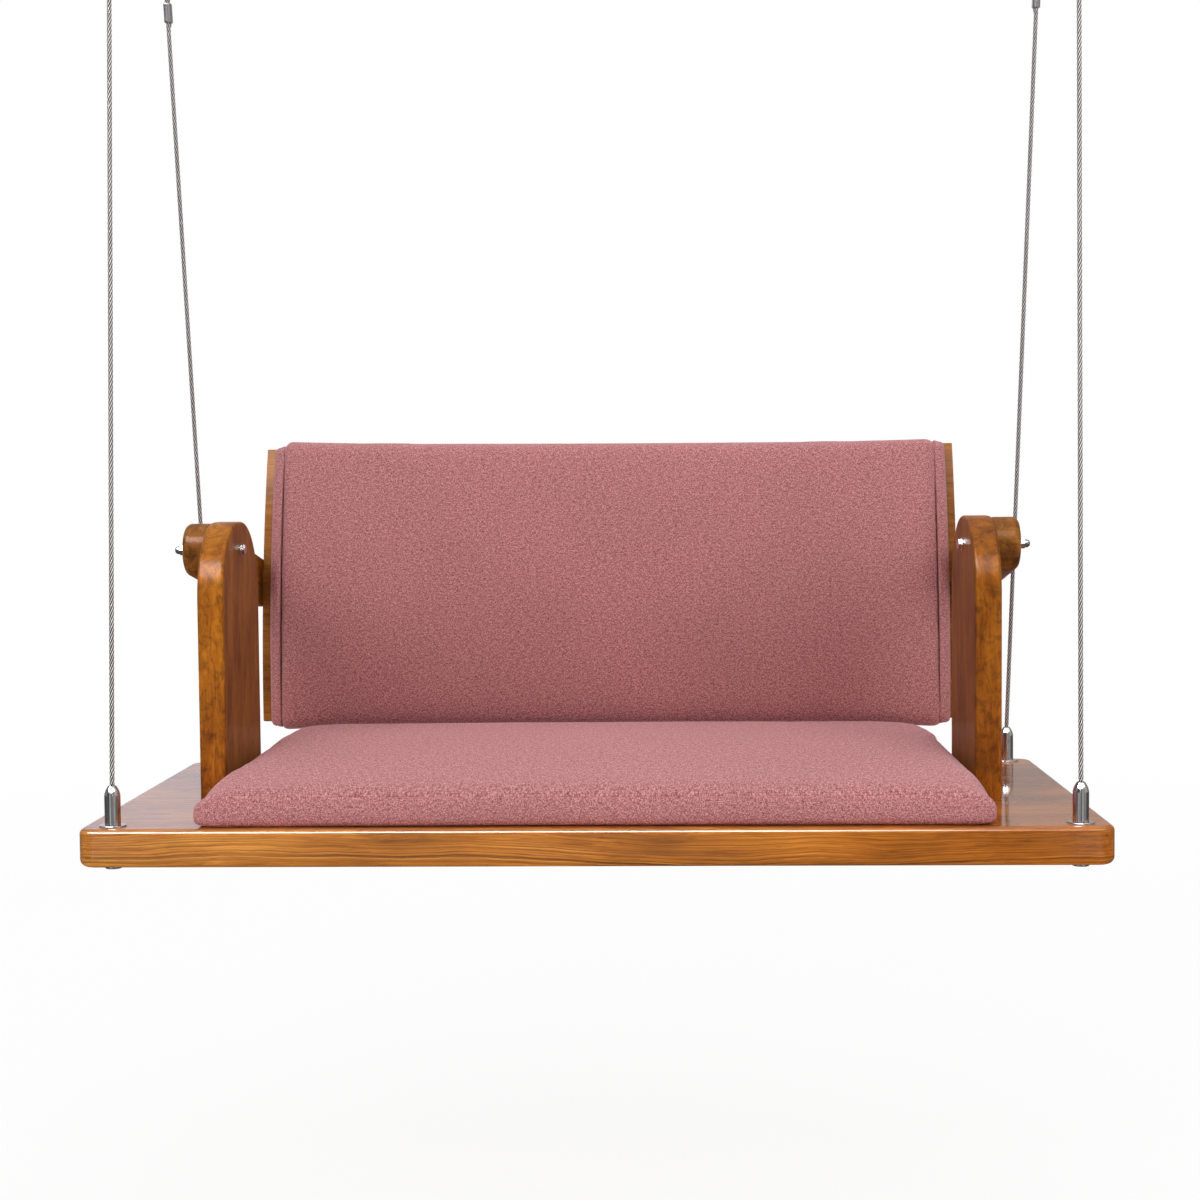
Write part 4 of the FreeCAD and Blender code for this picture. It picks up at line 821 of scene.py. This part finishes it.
class SWING_OT_woodwork(bpy.types.Operator):
    """Finish the board, posts, arms, backrest panel and dowels"""
    bl_idname = "swing.woodwork"
    bl_label = "Woodwork"

    def execute(self, context):
        # the board's sides tint paints shade and reflection on its top, and its drift tints paint a reflection at
        # its left end
        finished(lacquered_wood("Teak board", turn=(0.010, -QUARTER, 0.0), heart=(1.235, 0.30, 0.0), seed=1.7,
                                tint=(1.38, 1.27, 1.02), calm=("Z", 1), sides=(0.80, 0.77, 0.90), gloss=0.95,
                                drift=((1.0, 1.10, 1.30), (0.92, 0.78, 0.25))), "seat_board")
        finished(lacquered_wood("Teak backrest", turn=(0.012, -QUARTER, 0.0), heart=(-0.75, 0.05, 0.0), seed=6.1,
                                lines=0.35, tint=(0.70, 0.69, 0.65), gloss=0.10), "backrest_panel")
        for side, inward, seed, tint in (("left", 1, 2.3, (0.86, 0.74, 0.22)),
                                         ("right", -1, 9.4, (0.68, 0.55, 0.16))):
            x = inward * POST_X
            # the sides tint paints shade and reflection on each post's inner face
            finished(lacquered_wood(f"Teak post {side}", turn=(0.05, 0.04, 0), heart=(x + 0.012, 0.13, 0.9),
                                    seed=seed, lines=0.5, burl=0.65, tint=tint, calm=("X", inward),
                                    sides=(0.64, 0.72, 1.40)), f"post_{side}")
            finished(lacquered_wood(f"Teak arm {side}", turn=(QUARTER * 1.1, 0.03, 0), heart=(x * 1.06, 0.85, 0.02),
                                    seed=seed + 3, lines=0.5, burl=0.7, tint=(0.60, 0.59, 0.48)), f"arm_{side}")
        finished(bare_dowel("Beech dowel"), "post_dowels", "arm_dowels")
        return {"FINISHED"}


class SWING_OT_metalwork(bpy.types.Operator):
    """Finish the fittings, bolts, hangers, thimbles, sleeves and bushes"""
    bl_idname = "swing.metalwork"
    bl_label = "Metalwork"

    def execute(self, context):
        looks = (
            (metal("Polished steel", (0.70, 0.69, 0.68), roughness=0.14, brush=(1, 1, 14), scale=900.0, uneven=0.06,
                   depth=0.00002), ("rope_fitting", "fitting", "grub_screws", "pivot", "dome_nuts")),
            (metal("Plated steel", (0.62, 0.63, 0.64), roughness=0.30, scale=700.0, uneven=0.14), ("post_screws",)),
            (metal("Hanger steel", (0.56, 0.56, 0.57), roughness=0.36, scale=320.0, uneven=0.16, depth=0.00012),
             ("ceiling_plate", "hanger")),
            (metal("Rope end alloy", (0.66, 0.66, 0.66), roughness=0.30, scale=450.0, uneven=0.18, depth=0.00009),
             ("thimble", "sleeve")),
            (moulded_plastic("Bush plastic", (0.80, 0.79, 0.76)), ("arm_bushes",)))
        for material, starts in looks:
            finished(material, *(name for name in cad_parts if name.startswith(starts)))
        return {"FINISHED"}


# The stage

CAMERA_SPOT = (0.100, -2.77297, -0.779)
CAMERA_TURNS = ((2.08, "Z"), (90 - 3.16, "X"), (-0.53, "Z"))
CAMERA_LENS = 62.82
LAMP_TARGET = Vector((0, 0, -0.95))
FLOOR_SIZE = 30
FLOOR_MIDDLE = (0, 10.5, 0)
WINDOW_STRENGTH = 22.0
# the room behind the camera: how far across, from -1 to 1, and how bright
PANELS = ((-1.0, 0.35), (-0.8, 0.06), (-0.43, 0.08), (-0.39, 0.8), (-0.31, 0.8), (-0.25, 0.28), (0.02, 0.24),
          (0.12, 0.08), (0.20, 0.10), (0.25, 0.75), (0.33, 0.75), (0.39, 0.30), (0.6, 0.16), (0.8, 0.6), (1.0, 0.4))
# how far to each side the panels' light reaches on the floor in front
FLOOR_PANELS_REACH = 4.9


def lit_panels(nodes, across):
    """How bright gloss sees the room behind the camera, from how far across it looks."""
    return nodes.ramp(nodes.spread(across, -1, 1), [(at / 2 + 0.5, grey(light)) for at, light in PANELS])


def floor_finish(name):
    """A pale floor that the camera sees fade into the white room."""
    finish = Finish(name, Roughness=0.9, Specular_IOR_Level=0.1)
    place = finish.place()
    dust = finish.noise(place, scale=1.5, detail=3.0)
    finish.into("Base Color", finish.ramp(dust, [(0.3, grey(0.93)), (0.7, grey(0.96))]))
    ray = finish.node("LightPath").outputs
    parts = finish.split(place)
    seen = finish.math("MULTIPLY", finish.math("MAXIMUM", ray["Is Camera Ray"], ray["Is Transmission Ray"]),
                       finish.spread(finish.length(place), 0.8, 4.5, at_low=0.87))
    seen = finish.math("MAXIMUM", seen, ray["Is Glossy Ray"])
    # painted reflection: gloss sees only the floor's glow, pale far behind the swing, with a painted pool of the
    # panels' light far in front, and dark below the swing
    behind = finish.spread(parts[1], 1.0, 7.0, at_low=0.08, at_high=0.45)
    front = finish.math("MULTIPLY", lit_panels(finish, finish.math("DIVIDE", parts[0], FLOOR_PANELS_REACH)),
                        finish.spread(parts[1], -1.0, -2.5))
    dimming = finish.math("SUBTRACT", 1.0, finish.math("MAXIMUM", behind, front))
    dimming = finish.math("MULTIPLY", ray["Is Glossy Ray"], dimming)
    white = finish.node("Emission", {"Strength": finish.math("SUBTRACT", 1.0, dimming), "Color": WHITE})
    mixed = finish.node("MixShader", {0: seen, 1: finish.shader.outputs[0], 2: white.outputs[0]})
    finish.tree.links.new(mixed.outputs[0], finish.tree.nodes["Material Output"].inputs["Surface"])
    return finish.material


def white_room(name, strength):
    """A world that is white to the camera, lights evenly with strength, and gives gloss a room to show."""
    world = bpy.data.worlds.new(name)
    world.use_nodes = True
    room = Nodes(world.node_tree)
    around = world.node_tree.nodes["Background"]
    around.inputs["Color"].default_value = WHITE
    around.inputs["Strength"].default_value = strength
    # gloss shows the pale room ahead, the lit ceiling, a high window and two tall lit panels behind the camera,
    # and the dark round them
    way = room.split(room.node("TexCoord").outputs["Generated"])
    ahead = room.math("MULTIPLY", room.spread(way[1], 0.45, 0.85, at_high=0.74),
                      room.spread(way[0], -0.25, 0.30, at_low=1.08, at_high=0.45))
    ceiling = room.spread(way[2], 0.55, 0.95, at_high=0.9)
    panels = room.math("MULTIPLY", lit_panels(room, way[0]), room.spread(way[1], 0.5, 0.2))
    window = room.math("MINIMUM", room.spread(way[2], 0.52, 0.58), room.spread(way[2], 0.86, 0.80))
    pane = room.math("MULTIPLY", room.spread(way[1], -0.1, -0.4, at_high=WINDOW_STRENGTH),
                     room.spread(way[0], 0.05, 0.16, at_low=1.0, at_high=0.15))
    window = room.math("MULTIPLY", window, pane)
    bright = room.math("MAXIMUM", ahead, ceiling, panels, window)
    tone = room.blend(room.spread(way[0], -0.3, 0.3), (0.88, 0.88, 1.0, 1), (1.0, 0.97, 0.92, 1))
    ray = room.node("LightPath").outputs
    direct = room.math("MAXIMUM", ray["Is Camera Ray"], ray["Is Transmission Ray"])
    glossy = room.math("MULTIPLY", ray["Is Glossy Ray"], bright)
    shown = room.node("Background", {"Strength": room.math("MAXIMUM", direct, glossy),
                                     "Color": room.blend(ray["Is Glossy Ray"], WHITE, tone)})
    mixed = room.node("MixShader", {0: room.math("MAXIMUM", direct, ray["Is Glossy Ray"]),
                                    1: around.outputs[0], 2: shown.outputs[0]})
    room.tree.links.new(mixed.outputs[0], room.tree.nodes["World Output"].inputs["Surface"])
    return world


def add_lamp(name, spot, size, power):
    """A large lamp that looks at the swing. Gloss shows the room's own lights, and not the lamp's frame."""
    lamp = bpy.data.lights.new(name, "AREA")
    lamp.shape = "RECTANGLE"
    lamp.size, lamp.size_y = size
    lamp.energy = power
    holder = bpy.data.objects.new(name, lamp)
    holder.location = spot
    holder.rotation_euler = (LAMP_TARGET - Vector(spot)).to_track_quat("-Z", "Y").to_euler()
    holder.visible_glossy = False
    bpy.context.scene.collection.objects.link(holder)


def add_camera():
    """The photograph's camera."""
    lens = bpy.data.cameras.new("camera")
    lens.sensor_fit = "HORIZONTAL"
    lens.sensor_width = 36.0
    lens.lens = CAMERA_LENS
    camera = bpy.data.objects.new("camera", lens)
    stand = Matrix.Translation(CAMERA_SPOT)
    for degrees, axis in CAMERA_TURNS:
        stand = stand @ Matrix.Rotation(math.radians(degrees), 4, axis)
    camera.matrix_world = stand
    bpy.context.scene.collection.objects.link(camera)
    bpy.context.scene.camera = camera


class SWING_OT_stage(bpy.types.Operator):
    """Set the floor, the lamps, the white room and the camera"""
    bl_idname = "swing.stage"
    bl_label = "Stage and camera"

    def execute(self, context):
        settings = context.scene.swing_stage
        bpy.ops.object.select_all(action="DESELECT")
        bpy.ops.mesh.primitive_plane_add(size=FLOOR_SIZE, location=FLOOR_MIDDLE)
        floor = context.object
        floor.name = "floor"
        bpy.ops.object.transform_apply(location=True)
        floor.data.transform(Matrix.Translation((0, 0, BOARD_TOP - settings.floor_below)))
        floor.data.materials.append(floor_finish("Pale floor"))
        context.scene.world = white_room("White room", settings.room)
        add_lamp("key_lamp", spot=(-1.5, -2.6, 0.7), size=(1.8, 1.4), power=settings.key)
        add_lamp("fill_lamp", spot=(2.2, -2.2, 0.1), size=(1.2, 1.6), power=settings.fill)
        add_lamp("top_lamp", spot=(0.2, 0.3, 1.4), size=(2.6, 1.6), power=settings.top)
        add_camera()
        context.scene.view_settings.view_transform = "Standard"
        return {"FINISHED"}


class SWING_PT_panel(bpy.types.Panel):
    """The swing's pieces and their settings"""
    bl_idname = "SWING_PT_panel"
    bl_label = "Bench swing"
    bl_space_type = "VIEW_3D"
    bl_region_type = "UI"
    bl_category = "Bench Swing"

    def draw(self, context):
        for group, operators in (("swing_ropes", ("swing.ropes",)),
                                 ("swing_upholstery", ("swing.seat_cushion", "swing.backrest_pad")),
                                 ("swing_wood", ("swing.woodwork", "swing.metalwork")),
                                 ("swing_stage", ("swing.stage",))):
            box = self.layout.box()
            settings = getattr(context.scene, group)
            for name in settings.bl_rna.properties.keys():
                if name not in ("rna_type", "name"):
                    box.prop(settings, name)
            for operator in operators:
                box.operator(operator)


GROUPS = {"swing_ropes": SwingRopes, "swing_upholstery": SwingUpholstery, "swing_wood": SwingWood,
          "swing_stage": SwingStage}
CLASSES = (*GROUPS.values(), SWING_OT_stage, SWING_OT_ropes, SWING_OT_seat_cushion, SWING_OT_backrest_pad,
           SWING_OT_woodwork, SWING_OT_metalwork, SWING_PT_panel)


def register():
    for each in CLASSES:
        bpy.utils.register_class(each)
    for name, group in GROUPS.items():
        setattr(bpy.types.Scene, name, PointerProperty(type=group))


def unregister():
    for name in GROUPS:
        delattr(bpy.types.Scene, name)
    for each in reversed(CLASSES):
        bpy.utils.unregister_class(each)


def main():
    register()
    bpy.ops.swing.stage()
    bpy.ops.swing.ropes()
    bpy.ops.swing.woodwork()
    bpy.ops.swing.metalwork()
    bpy.ops.swing.seat_cushion()
    bpy.ops.swing.backrest_pad()


if __name__ == "__main__":
    main()
